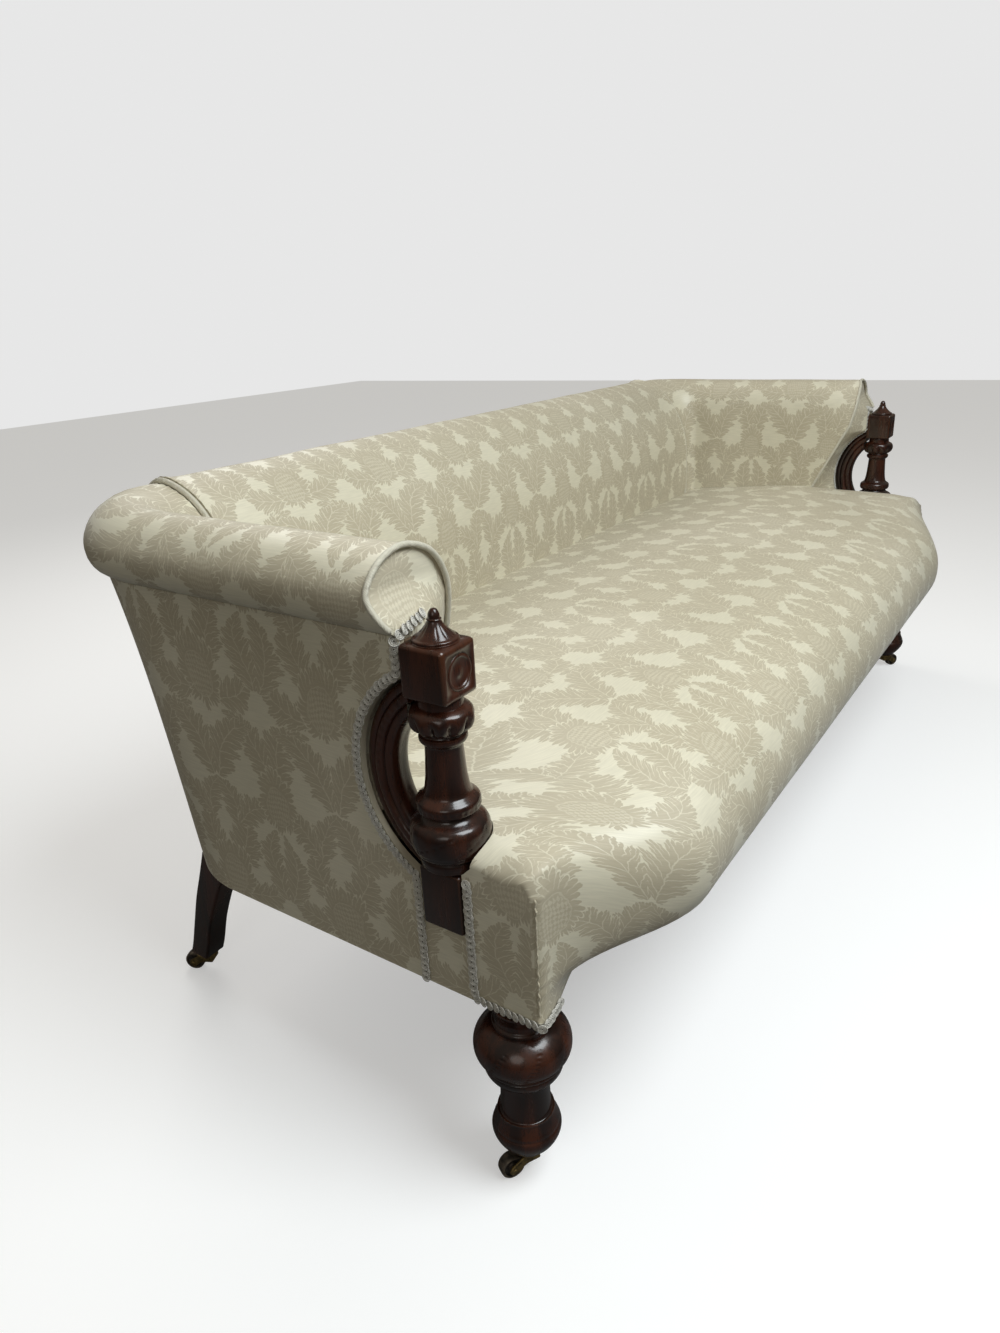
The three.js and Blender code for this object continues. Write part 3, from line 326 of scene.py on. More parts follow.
ARM_ROLL_SHARES = ((0, 0), (0, 0.25), (0, 0.55), (0.02, 0.72), (0.09, 0.86), (0.27, 0.965),
                   (0.54, 1), (0.8, 0.97), (0.965, 0.9), (1, 0.83), (0.96, 0.77))
BACK_ROLL_SHARES = ((0, 0), (0, 0.2), (0.01, 0.42), (0.06, 0.59), (0.18, 0.75), (0.35, 0.89),
                    (0.55, 0.97), (0.77, 1), (0.94, 0.94), (1, 0.84), (0.96, 0.745))
ROLL_POINTS = 90
FACING_OUTER_X = PANEL_X - PANEL_T - 2 * HAIR
FACING_INNER_X = PANEL_X - ARM_THICKNESS
BLOCK_FACE_Y = POST_BACK_Y + 5 * HAIR
SCROLL_Y = POST_Y + 0.050
FACING_BREAK_Z = SEAM_Z - 0.022
FACING_BREAK_Y = POST_Y + 0.053
FACING_LEAN = 0.512
FACING_SWEEP = 0.044
FACING_FLAT_X = POST_X - 0.0285
SCROLL_LEAN = 0.2


def back_y(z):
    """The outside back's line at a height."""
    rise = np.clip((np.asarray(z, float) - SKIRT_Z) / (SEAM_Z - SKIRT_Z), 0, 1)
    return SEAM_REAR_Y - BACK_RAKE + BACK_RAKE * (0.75 * rise + 0.25 * rise ** 4)


def roll_line(shares, inner, outer, crest_z):
    points = [(lerp(inner, outer, u), lerp(PAD_FOOT_Z, crest_z, v)) for u, v in shares]
    line = curve_through([*points, (REAR_CORNER_R, SEAM_Z + HAIR)], ROLL_POINTS)
    return np.minimum(line, [outer, crest_z])


def facing_y(x, z):
    """The front of an arm: its outer edge keeps to the bracket, its inner edge leans forward."""
    x, z = np.broadcast_arrays(np.asarray(x, float), np.clip(z, PAD_FOOT_Z, None))
    round_edge = BRACKET_Y + np.sqrt(np.clip((BRACKET_R + 2 * HAIR) ** 2 - (z - BRACKET_Z) ** 2, 0, None))
    above = lerp(BLOCK_FACE_Y, SCROLL_Y, smooth((z - SEAM_Z) / FACING_SWEEP))
    outer = np.where(z > FACING_BREAK_Z, above, np.maximum(BLOCK_FACE_Y, round_edge))
    over = z - FACING_BREAK_Z
    inner = FACING_BREAK_Y - over * np.where(over > 0, SCROLL_LEAN, FACING_LEAN)
    inward = np.clip((FACING_FLAT_X - x) / (FACING_FLAT_X - FACING_INNER_X), 0, 1)
    return lerp(outer, inner, inward)


def ripple(points, size, seed):
    """A gentle unevenness of stuffing, between -1 and 1."""
    rng = np.random.default_rng(seed)
    total = np.zeros(points.shape[:-1])
    for _ in range(7):
        way = rng.normal(size=3)
        way *= rng.uniform(0.6, 1.5) / (size * np.linalg.norm(way))
        total += np.sin(2 * math.pi * (points @ way) + rng.uniform(0, 6.28))
    return total / 7


# The seat: sections from hem to crease, as shares of its height and of its front's swell

SEAT_KEPT = {"left": (0.783, 0.72), "right": (0.57, 0.86)}
SEAT_REAR_Y = CORNER_CENTRE_Y + BACK_FACE_R + 0.024
SEAT_H = SEAT_CROWN_Z - SKIRT_Z
UNDER_PAD_Z = 0.372
FRONT_SHARES = (0, 0.052, 0.266, 0.367, 0.495, 0.64, 0.785, 0.885, 0.955)
SWELL_SHARES = (-0.066, 0.154, 0.804, 0.938, 1, 0.95, 0.74, 0.37, -0.2)
END_SHARES = (0, 0.126, 0.219, 0.33, 0.487, 0.61, 0.7, 0.752, 0.782)
BROW_SHARES = ((0.016, 0.795, 0.966), (0.055, 0.802, 0.985))
TOP_SHARES = ((0.3, 1), (0.47, 1.01), (0.66, 0.975), (0.84, 0.93), (0.95, 0.89), (1, 0.84))
END_TOP_SHARE = 0.802
HEM_TUCK = 0.018
HEM_TUCK_REACH = 0.120
TUCK_SHARES = (1, 0.84, 0.34)
ARRIS_DROP = 0.001
ARRIS_FROM = 6
SIDE_RAIL_FRONT_Y = CORNER_Y + PANEL_T + 0.004
FRONT_RAIL_Y = SIDE_RAIL_FRONT_Y + 0.020
SIDE_RAIL_T = 0.0456
SEAT_POINTS = 150
SEAT_STATIONS = 67
# How far in from each end the rounding is followed closely, and where, as shares of it
END_ZONE = 0.042
END_STATIONS = (0, 0.007, 0.03, 0.07, 0.13, 0.21, 0.32, 0.45, 0.6, 0.78)
# The rounding at the ends: how far in it reaches and how deep it drops, on the front and on the top
FRONT_ROUND, TOP_ROUND = (0.008, 0.008), (0.034, 0.018)
BROW_DROP = 0.025
ARRIS_SPREAD = 0.07
PUCKER_DEPTH, PUCKER_REACH = 0.0013, 0.020
VALLEY_DEPTH, VALLEY_WIDTH, SEAM_INSET = 0.0016, 0.003, 0.0025
DIMPLE_DEPTH, DIMPLE_REACH, DIMPLE_HEIGHT = 0.0075, 0.022, 0.015
STUFFING_DEPTH, STUFFING_SIZE, SEAT_SEED = 0.0013, 0.19, 3
THREAD_R, THREAD_OUT, THREAD_AHEAD = 0.0011, 0.0014, 0.0013
THREAD_REAR_Y, THREAD_LOW_Z, THREAD_HIGH_Z = CORNER_Y + 0.012, SKIRT_Z + 0.011, 0.399
BULB_ROOM = ((0, -1), (30, -1), (42.5, 14), (42.5, 51), (26.5, 61), (0, 61))


def seat_line(x, count):
    """The seat's cover from its hem, over the front roll and back to the crease."""
    end = abs(x) / PANEL_X
    swell_kept, crown_kept = SEAT_KEPT["left" if x < 0 else "right"]
    swell = CORNER_SETBACK * (1 - smooth((end - swell_kept) / (1 - swell_kept)))
    crown = 1 - 0.9 * smooth(1.05 * (end - crown_kept) / (1 - crown_kept) + 0.05)
    arris = ARRIS_DROP * smooth((end - 0.95) / 0.05) ** 3
    tuck = HEM_TUCK * smooth((PANEL_X - abs(x)) / HEM_TUCK_REACH)

    def height(end_share, full_share):
        return SKIRT_Z + lerp(end_share, full_share, crown) * SEAT_H

    front = [[CORNER_Y - s * swell, height(e, f)] for s, e, f in zip(SWELL_SHARES, END_SHARES, FRONT_SHARES)]
    for point in front[ARRIS_FROM:]:
        point[1] -= arris
    for point, share in zip(front, TUCK_SHARES):
        point[0] += share * tuck
    top = [(front[-1][0] + reach, height(e, h) - arris) for reach, e, h in BROW_SHARES]
    top += [(lerp(CORNER_Y, SEAT_REAR_Y, u), height(END_TOP_SHARE, h) - arris) for u, h in TOP_SHARES]
    return curve_through(front + top, count)


def planar_ends(piece, axes):
    """Gives a piece's flat end faces, the ones with many corners, a cloth map straight from their place."""
    layer = piece.data.uv_layers["cloth"].data
    for face in piece.data.polygons:
        if len(face.vertices) > 4:
            for loop in face.loop_indices:
                place = piece.data.vertices[piece.data.loops[loop].vertex_index].co
                layer[loop].uv = (place[axes[0]], place[axes[1]])


def seat_cover(x):
    """The seat's cover at x as it lies: unevenly stuffed, rounded over and pulled in at its ends."""
    line = seat_line(x, SEAT_POINTS)
    rounding = PANEL_X - abs(x)
    far = lengths_along(line)
    arris = far[np.argmax(line[:, 0] > CORNER_Y + 0.004)]
    over = smooth((far - arris) / ARRIS_SPREAD + 0.5)
    inward = np.stack([np.cos(over * QUARTER), -np.sin(over * QUARTER)], axis=1)
    back = smooth((line[:, 0] - CORNER_Y - 0.03) / 0.05)
    reach = lerp(FRONT_ROUND[0], TOP_ROUND[0], over)
    drop = lerp(FRONT_ROUND[1], lerp(BROW_DROP, TOP_ROUND[1], back), over)
    inset = drop * (1 - np.sqrt(np.maximum(0, 1 - (1 - np.minimum(1, rounding / reach)) ** 2)))
    near_seam = bell(rounding, PUCKER_REACH) * smooth((arris - 0.004 - far) / 0.02)
    gathers = PUCKER_DEPTH * np.sin(far * 560 + 1.6 * np.sin(far * 60))
    valley = VALLEY_DEPTH * bell(rounding - SEAM_INSET, VALLEY_WIDTH)
    dimple = DIMPLE_DEPTH * bell(rounding, DIMPLE_REACH) * bell(far - arris + 0.006, DIMPLE_HEIGHT)
    points = np.column_stack([np.full(SEAT_POINTS, x), line])
    stuffing = STUFFING_DEPTH * ripple(points, STUFFING_SIZE, SEAT_SEED)
    pulled = inset + near_seam * (gathers + valley) + dimple - stuffing
    return line + inward * (smooth(far / 0.02) * pulled)[:, None]


def seat():
    """The sprung seat: a full rolled front edge, a sewn seam down each front corner, hollow beneath."""
    half = np.concatenate([np.linspace(0, PANEL_X - END_ZONE, SEAT_STATIONS),
                           PANEL_X - END_ZONE * np.array(END_STATIONS)[::-1]])
    rings, maps = [], []
    for x in np.concatenate([-half[:0:-1], half]):
        line = seat_cover(x)
        ring = np.vstack([line, *[(SEAT_REAR_Y, lerp(line[-1, 1], SKIRT_Z, t)) for t in (0.15, 0.5, 1)],
                          *[(lerp(SEAT_REAR_Y, line[0, 0], t), SKIRT_Z) for t in (0.33, 0.66, 0.9)]])
        rings.append(np.column_stack([np.full(len(ring), x), ring]))
        maps.append(np.column_stack([np.full(len(ring) + 1, x), np.append(lengths_along(ring), 0)]))
    made = solid("seat_cushion", rings, maps)
    planar_ends(made, (1, 2))
    post_front, inside, below = POST_Y - POST_SIDE / 2 - 2 * HAIR, PANEL_X - PANEL_T, SKIRT_Z - 0.01
    post_inside, outside = POST_X - POST_SIDE / 2 - 2 * HAIR, PANEL_X + 0.01
    tools = [block((-inside, FRONT_RAIL_Y - HAIR, below), (inside, REAR_Y, UNDER_PAD_Z))]
    threads = []
    rooms = (((inside - SIDE_RAIL_T, SIDE_RAIL_FRONT_Y - HAIR, below), (inside, REAR_Y, UNDER_PAD_Z)),
             ((post_inside, post_front, below), (outside, REAR_Y, SEAM_Z)),
             ((inside, post_front - 4 * HAIR, below), (outside, POST_Y, POST_FOOT_Z)))
    for side in SIDES.values():
        for low, high in rooms:
            ends = sorted((side * low[0], side * high[0]))
            tools.append(block((ends[0], *low[1:]), (ends[1], *high[1:])))
        tools.append(facing_slab(side, -0.0008, 0.7, FACING_INNER_X - 4 * HAIR))
        tools.append(lathe("bulb_room", [(r * MM, SQUARE_TOP_Z + z * MM) for r, z in BULB_ROOM], 40,
                           (side * POST_X, POST_Y, 0)))
        x = side * (PANEL_X - SEAM_INSET)
        run = [(x + side * THREAD_OUT, y - THREAD_AHEAD, z) for y, z in seat_cover(x)
               if y < THREAD_REAR_Y and THREAD_LOW_Z < z < THREAD_HIGH_Z]
        threads.append(cord("seam", run, THREAD_R, 8))
    crisp(cut_away(made, *tools))
    made = finish_piece(joined("seat_cushion", [made, *threads]), damask, "seat_pad")


def facing_slab(side, near, far, inner_x):
    """The room of an arm behind its front, from a distance near behind the facing's face to far."""
    rings = []
    for z in np.linspace(PAD_FOOT_Z - 0.004, ARM_CREST_Z + 0.005, 26):
        front = [(side * x, float(facing_y(x, z)) + near) for x in np.linspace(inner_x, PANEL_X + 0.03, 9)]
        rings.append(at_height(front + [(x, y + far) for x, y in front[::-1]], z))
    return solid("slab", rings)


# The back and the arms

ARM_ROLL = roll_line(ARM_ROLL_SHARES, INNER_REACH, ARM_OUTER_REACH, ARM_CREST_Z)
BACK_ROLL = roll_line(BACK_ROLL_SHARES, BACK_FACE_R, BACK_OUTER_REACH, BACK_CREST_Z)
LEDGE_Z = SEAM_Z - 0.0054
FRAME_HEIGHTS = (LEDGE_Z, 0.56, 0.49, PAD_FOOT_Z)
ARM_FRAME_REACH = INNER_REACH + 0.047
UPRIGHT_DEPTH = 0.048
SEAM_PULL, SEAM_PULL_REACH = 0.0042, 0.011
GATHER_DEPTH, GATHER_REACH, GATHER_PITCH = 0.0007, 0.028, 0.0123
PAD_STUFFING_DEPTH, PAD_STUFFING_SIZE = 0.0011, 0.16
EDGE_ROWS = 7
ARM_RISE, ARM_START_Y = 0.25, POST_Y - 0.005
BACK_SEED, ARM_SEED = 5, 9


def section(roll, frame_reach):
    """A roll's shown line, closed over the panel's top edge and down the frame."""
    step = back_y(LEDGE_Z) - CORNER_CENTRE_Y - PANEL_T - HAIR
    hidden = [(step, SEAM_Z + HAIR), (step, LEDGE_Z), *[(frame_reach(z), z) for z in FRAME_HEIGHTS]]
    return np.vstack([roll, hidden])


ARM_SECTION = section(ARM_ROLL, lambda z: ARM_FRAME_REACH)
BACK_SECTION = section(BACK_ROLL, lambda z: back_y(z) - PANEL_T - UPRIGHT_DEPTH - 3 * HAIR - CORNER_CENTRE_Y)


def swept(rings, seed, pulls):
    """A pad's rings and cloth map: unevenly stuffed on the shown side, and pulled in beside its end seams."""
    rings = np.asarray(rings)
    shown = rings[:, :ROLL_POINTS]
    out = np.cross(np.gradient(rings, axis=0)[:, :ROLL_POINTS], np.gradient(shown, axis=1))
    out /= np.linalg.norm(out, axis=2)[..., None] + 1e-12
    lead = lengths_along(rings[:, ROLL_POINTS // 2])
    ends = [(length, pull) for length, pull in zip((lead, lead[-1] - lead), pulls)]
    edges = sum(pull * np.exp(-(length / SEAM_PULL_REACH) ** 1.3) for length, pull in ends)[:, None]
    near = sum(pull * np.exp(-length / GATHER_REACH) for length, pull in ends)[:, None]
    row = np.arange(ROLL_POINTS)
    fade = smooth(np.minimum(row, ROLL_POINTS - 1 - row) / EDGE_ROWS)
    far = lengths_along(shown)
    gathers = np.sin(far / GATHER_PITCH * 2 * math.pi + 2.2 * np.sin(far * 41 + seed))
    stuffing = PAD_STUFFING_DEPTH * ripple(shown, PAD_STUFFING_SIZE, seed)
    depth = fade * (SEAM_PULL * edges + GATHER_DEPTH * near * gathers - stuffing * (1 - edges))
    rings[:, :ROLL_POINTS] += out * depth[..., None]
    maps = np.zeros(rings.shape[:1] + (rings.shape[1] + 1, 2))
    maps[:, :-1, 0] = lead[:, None]
    maps[:, :-1, 1] = lengths_along(rings)
    maps[:, -1, 1] = maps[:, -2, 1] + 0.05
    return rings, maps


def back():
    half = CORNER_X - 2 * PIPING_R - HAIR
    line = BACK_SECTION + (CORNER_CENTRE_Y, 0)
    rings, maps = swept([np.column_stack([np.full(len(line), share * half), line])
                         for share in np.sin(np.linspace(-1, 1, 90) * QUARTER)], BACK_SEED, (1, 1))
    maps[..., 0] -= maps[len(maps) // 2, 0, 0]
    made = solid("back_cushion", rings, maps)
    planar_ends(made, (1, 2))
    finish_piece(crisp(made), damask, "back_pad")


def arm_ring(angle, rise):
    reach = lerp(ARM_SECTION[:, 0], BACK_SECTION[:, 0], smooth(angle / QUARTER))
    return np.column_stack([CORNER_X + reach * math.cos(angle), CORNER_CENTRE_Y + reach * math.sin(angle),
                            lerp(ARM_SECTION[:, 1], BACK_SECTION[:, 1], rise)])


def arms():
    """The arms from their fronts to the back: straight first, then round the rear corner."""
    rings = []
    for t in np.linspace(0, 1, 70):
        ring = arm_ring(0, ARM_RISE * smooth(t))
        ring[:, 1] = lerp(ARM_START_Y, CORNER_CENTRE_Y, t)
        rings.append(ring)
    rings += [arm_ring(t * QUARTER, lerp(ARM_RISE, 1, t)) for t in np.linspace(0, 1, 44)[1:]]
    made = solid("arm_cushion", *swept(rings, ARM_SEED, (0, 1)))
    planar_ends(made, (0, 2))
    front = facing_slab(1, -0.2, 0.2015, FACING_INNER_X - 0.02)
    cut_away(made, front, solid("leg_room", back_leg_rings(2 * HAIR)))
    both_sides(crisp(made), "arm_cushion", damask)


FACING_POINTS = 40
FACING_ROWS = 110
FACING_INSET = 0.0013
FACING_TURN_IN, FACING_TURN_REACH, FACING_FULLNESS = 0.0022, 0.012, 0.0012
TOP_RAIL_HALF = 0.0153


def scroll_facings():
    """The flat fronts of the arms, slightly stuffed, inside their cord."""
    foot = PAD_FOOT_Z + 2 * HAIR
    crest = int(np.argmax(ARM_ROLL[:, 1]))
    rise, fall = ARM_ROLL[:crest + 1], ARM_ROLL[crest:][::-1]
    top = ARM_ROLL[crest, 1]
    rings, maps = [], []
    for z in foot + (top - foot) * np.sin(np.linspace(0, 1, FACING_ROWS) * QUARTER):
        left = CORNER_X + np.interp(z, rise[:, 1], rise[:, 0])
        right = FACING_OUTER_X if z < SEAM_Z else CORNER_X + np.interp(z, fall[:, 1], fall[:, 0])
        right = max(right - FACING_INSET, left + 5 * HAIR)
        left = max(left, FACING_INNER_X + HAIR) + FACING_INSET
        x = left + (right - left) * (1 - np.cos(np.linspace(0, math.pi, FACING_POINTS))) / 2
        edge = np.minimum.reduce([x - left, right - x, np.full(FACING_POINTS, min(1.2 * (top - z), 0.03))])
        y = facing_y(x, z)
        turned_in = FACING_TURN_IN * (1 - smooth(edge / FACING_TURN_REACH))
        front = y + turned_in - FACING_FULLNESS * smooth((edge - 0.006) / 0.02)
        outline = np.append(x, x[::-1])
        rings.append(at_height(np.column_stack([outline, np.append(front, (y + FACING_T)[::-1])]), z))
        maps.append(at_height(np.append(outline, x[0])[:, None], z))
    made = solid("scroll_facing", rings, maps)
    rail_x = FACING_OUTER_X - 0.015
    rail = block((rail_x - TOP_RAIL_HALF, -0.4, SEAM_Z - 0.0363),
                 (rail_x + TOP_RAIL_HALF, 0.1, SEAM_Z - 0.0051))
    cut_away(made, rail, bracket_room(POST_X - 0.0176 + 0.03, 0.06))
    both_sides(crisp(made), "scroll_facing", damask)


def cord(name, path, radius, sides=14):
    """A covered cord along a path, its ends rounded, with its length and its round in the cloth map."""
    path = curve_through(path, max(40, 2 * len(path)))
    rings, maps = [], []
    far = lengths_along(path)
    tangents = unit(np.gradient(path, axis=0))
    side = np.cross(tangents[0], (0, 1, 0.01))
    angles = np.linspace(0, 2 * math.pi, sides + 1)
    turn = angles[:-1, None]
    for at, way, length in zip(path, tangents, far):
        side = side - way * (side @ way)
        side /= np.linalg.norm(side)
        end = min(length, far[-1] - length)
        r = radius * math.sqrt(max(0.02, 1 - (1 - min(1, end / radius)) ** 2))
        rings.append(at + r * (np.cos(turn) * side + np.sin(turn) * np.cross(way, side)))
        maps.append(np.column_stack([np.full(sides + 1, length), radius * angles]))
    return solid(name, rings, maps)


CORD_R = 0.0031
CORD_SUNK = 0.0016
# The back's cord, then the flange that fills its seam: how proud it lies inside, and its radius
BACK_CORDS = ((0.0008, CORD_R), (-0.0014, PIPING_R + HAIR / 2))
PROUD_OUTSIDE = 0.0002


def pipings():
    low_inside, low_outside = CREASE_Z + 4 * PIPING_R, SEAM_Z + PIPING_R + 2 * HAIR
    keep = [(r, z) for r, z in ARM_ROLL if z > (low_outside if r > REAR_CORNER_R / 2 else low_inside)]
    path = [(CORNER_X + r, float(facing_y(CORNER_X + r, z)) - CORD_SUNK, z) for r, z in keep]
    both_sides(cord("scroll_piping", path, CORD_R, 16), "scroll_piping", piping)
    way = unit(np.gradient(BACK_ROLL, axis=0))
    outwards = smooth((BACK_ROLL[:, 0] - 0.03) / 0.03)
    made = []
    for lift, radius in BACK_CORDS:
        proud = lerp(lift, min(lift, PROUD_OUTSIDE), outwards)[:, None]
        line = BACK_ROLL + proud * np.column_stack([-way[:, 1], way[:, 0]]) + (CORNER_CENTRE_Y, 0)
        line = line[BACK_ROLL[:, 1] > CREASE_Z - 0.006]
        x = np.full(len(line), CORNER_X - PIPING_R - HAIR / 2)
        made.append(cord("cord", np.column_stack([x, line]), radius))
    both_sides(joined("back_piping", made), "back_piping", piping)


PANEL_LAP = PANEL_T - 0.0004
PANEL_LEVELS = 44
PANEL_CURVE = 36


def panel_path(z, inside):
    """The outside panel's line in plan at a height."""
    r, centre_y = REAR_CORNER_R - inside, float(back_y(z)) - REAR_CORNER_R
    angles = np.linspace(0, QUARTER, PANEL_CURVE)
    ahead = np.linspace(POST_Y - POST_SIDE, centre_y, PANEL_CURVE, endpoint=False)
    round_it = zip(CORNER_X + r * np.cos(angles), centre_y + r * np.sin(angles))
    return np.array([*[(PANEL_X - inside, y) for y in ahead], *round_it, (CORNER_X - HAIR, centre_y + r)])


def outside_panels():
    levels = np.linspace(SKIRT_Z, SEAM_Z, PANEL_LEVELS)
    rings, maps = [], []
    for z in levels:
        outer = panel_path(z, 0)
        far = lengths_along(outer)
        rings.append(at_height(np.vstack([outer, panel_path(z, PANEL_LAP)[::-1]]), z))
        maps.append(at_height(np.concatenate([far, far[::-1], far[:1]])[:, None], z))
    near_x, far_x, ahead_y = PANEL_X - 3 * PANEL_T, PANEL_X + PANEL_T, POST_Y - 0.1
    post = block((near_x, ahead_y, POST_FOOT_Z - 4 * HAIR), (far_x, POST_BACK_Y + 2 * HAIR, SEAM_Z + 0.005))
    ahead = block((near_x, ahead_y, SKIRT_Z - 0.005), (far_x, POST_Y - POST_SIDE / 2 - 5 * HAIR, POST_FOOT_Z))
    made = cut_away(solid("outside_arm", rings, maps), post, ahead, bracket_room(PANEL_X, 0.03))
    both_sides(crisp(made), "outside_arm", damask)
    rings, maps = [], []
    for x in np.linspace(3 * HAIR - CORNER_X, CORNER_X - 3 * HAIR, 60):
        rings.append([(x, float(back_y(z)), z) for z in levels]
                     + [(x, float(back_y(z)) - PANEL_LAP, z) for z in levels[::-1]])
        maps.append([(x, z) for z in [*levels, *levels[::-1], levels[0]]])
    finish_piece(crisp(solid("outside_back", rings, maps)), damask, "outside_back")


# The woodwork

# The post's turning: shares of the bulb's radius, and of the height from the square to the block
TURNING_SHARES = ((0.70, 0.01), (0.785, 0.033), (0.80, 0.062), (0.77, 0.08), (0.86, 0.094), (0.945, 0.125),
                  (0.99, 0.165), (1, 0.2), (0.975, 0.248), (0.89, 0.283), (0.7, 0.308), (0.63, 0.333),
                  (0.75, 0.35), (0.79, 0.375), (0.77, 0.41), (0.66, 0.432), (0.57, 0.455), (0.5, 0.545),
                  (0.455, 0.71), (0.46, 0.735), (0.55, 0.752), (0.58, 0.77), (0.565, 0.79), (0.5, 0.812))
LOBE_SHARES = ((0, 0), (0.6, 0), (0.8, 0.06), (0.93, 0.2), (1, 0.45), (0.98, 0.66), (0.9, 0.84), (0.72, 0.97),
               (0.6, 1), (0, 1))
FINIAL_SHARES = ((0.95, 0), (1, 0.03), (1.01, 0.075), (0.985, 0.115), (0.9, 0.135), (0.865, 0.15),
                 (0.80, 0.195), (0.68, 0.275), (0.545, 0.37), (0.43, 0.47), (0.35, 0.56), (0.305, 0.625),
                 (0.30, 0.645), (0.325, 0.662), (0.32, 0.685), (0.27, 0.70), (0.262, 0.72), (0.262, 0.77),
                 (0.245, 0.83), (0.205, 0.90), (0.15, 0.955), (0.08, 0.99), (0, 1))
ROUNDEL_SHARES = ((0, 0), (1, 0), (1, 0.95), (0.93, 1.2), (0.85, 1.2), (0.79, 0.7), (0.72, 0.55), (0.55, 0.4),
                  (0.4, 0.42), (0.28, 0.6), (0.16, 0.85), (0, 0.95))
# One half of the bracket's section: shares of its band outwards and of its thickness
BRACKET_SHARES = ((0, 0), (0, 0.16), (0.03, 0.27), (0.1, 0.39), (0.2, 0.43), (0.3, 0.42), (0.34, 0.38),
                  (0.38, 0.46), (0.44, 0.5), (0.56, 0.5), (0.62, 0.46), (0.66, 0.38), (0.7, 0.42),
                  (0.8, 0.43), (0.9, 0.39), (0.97, 0.27), (1, 0.16), (1, 0))
# Radius and height, in millimetres
LEG_TURNING = ((19, 34.3), (20.5, 37), (26.2, 44), (32.2, 52), (36.5, 60), (38.6, 67), (38.4, 72.5),
               (36.6, 75.5), (36.6, 78), (34.8, 82), (32.3, 88), (31.2, 91.8), (31.6, 94.2), (29, 95),
               (28.1, 99), (27.2, 120), (27.6, 138), (29.2, 144), (31.8, 146.6), (35, 147.6), (39.2, 150.5),
               (42.4, 155.5), (43.8, 160.5), (43.8, 162.5), (42.5, 164), (44.7, 165.5), (46.2, 168),
               (46, 170.2), (44.7, 171.5), (47.6, 173), (50.7, 177), (52.5, 182), (53, 187), (52.3, 193),
               (49.8, 199), (45.2, 205), (39.6, 209.8), (34.2, 212.8), (31, 214), (32, 216), (31.2, 218),
               (28.8, 220), (28.4, 226), (29.8, 232), (31.8, 237), (31.8, 239.4))
POST_ROOM = ((0, 389), (30.5, 389), (30.5, 401), (35.5, 404), (40.5, 411), (42.3, 422), (40.2, 435),
             (35.2, 443.5), (27, 447.5), (0, 447.5))
PLATE = ((0, 30.6), (15.5, 30.6), (16.8, 31.2), (17, 32.2), (16.6, 33.3), (15.5, 34), (6, 34), (6, 43.7),
         (0, 43.7))
HALF_WHEEL = ((2.6, -5.2), (5, -5.2), (5.6, -4.2), (10.4, -4.2), (11.2, -6.2), (13.2, -6.8), (14.1, -5.6),
              (14.45, -3), (14.5, 0))
HALF_AXLE = ((0, 0), (1.4, 0), (2.2, 0.5), (2.3, 1))
# The horn's outline: shares of the trail and of the height of its crown
HORN_SHARES = ((-0.45, 1), (0.25, 1), (0.62, 0.86), (1.0, 0.7), (1.14, 0.62), (1.28, 0.5), (1.28, 0.4),
               (1.2, 0.3), (1, 0.24), (0.8, 0.3), (0.5, 0.5), (0.2, 0.58), (-0.45, 0.6))
CORNERS = ((1, 1), (-1, 1), (-1, -1), (1, -1))
# A timber's worn end: how far in, in chamfers, and how much narrower it is there
WORN = ((0, 0.7), (0.15, 0.4), (0.5, 0.1), (1, 0))
BLOCK_MID = (POST_X, POST_Y - BLOCK_SIDE / 2, BLOCK_Z + BLOCK_H / 2)
# How deep the carving goes
LEAF_CUT, FINE_CUT, BEAD_CUT, GROOVE_CUT = 0.0014, 0.0002, 0.0012, 0.00078
LEG_LEAF_CUT, LEG_BEAD_CUT = 0.0015, 0.0007
LINE_WIDTH = 0.05
RECESS_R, RECESS_DEPTH = 0.0183, 0.003
PIN_R, PIN_DEPTH = 0.005, 0.0125
FINIAL_H, FINIAL_R = 0.031, 0.022
ROUNDEL_R, ROUNDEL_DEPTH = 0.018, 0.0027
LEG_TENON = ((0.016, SKIRT_Z - 2 * HAIR), (0.016, 0.2457), (0.010, 0.2457), (0.010, 0.290), (0, 0.290))
# Radius, low end and high end
LEG_SOCKET, PLATE_BORE = (0.0063, 0.02, 0.0447), (0.0034, 0.02, 0.05)
UPRIGHT_REACH, UPRIGHT_HALF = 0.098, 0.022
SABRE_TOP, SABRE_FOOT, SABRE_HALF = 0.052, 0.036, 0.017
SABRE_DROPS = (0, 0.22, 0.45, 0.68, 0.9, 1)
SABRE_SWEEPS = (0, 0.24, 0.5, 0.72, 0.9, 1)
CHEEK_T, WHEEL_GAP = 0.0026, 0.001
STEM_R, STEM_RISE = 0.003, 0.009
BRIDGE_REAR, BRIDGE_AHEAD = -0.0099, 0.0053
CROWN_Z = CASTOR_H - 0.0034 - 0.0007
SOFTENING = 0.0004
CHEEK_SHARES = ((0, 0.93), (0.12, 0.98), (0.35, 1), (0.65, 1), (0.88, 0.98), (1, 0.93))


def rounded_plan(x, half, low, high, radius, steps):
    """A rectangle in plan, its middle at x, with rounded corners."""
    return [(x + cx * (half - radius) + radius * math.cos(a),
             (high if cy > 0 else low) - cy * radius + radius * math.sin(a))
            for quarter, (cx, cy) in enumerate(CORNERS)
            for a in (quarter + np.linspace(0, 1, steps)) * QUARTER]


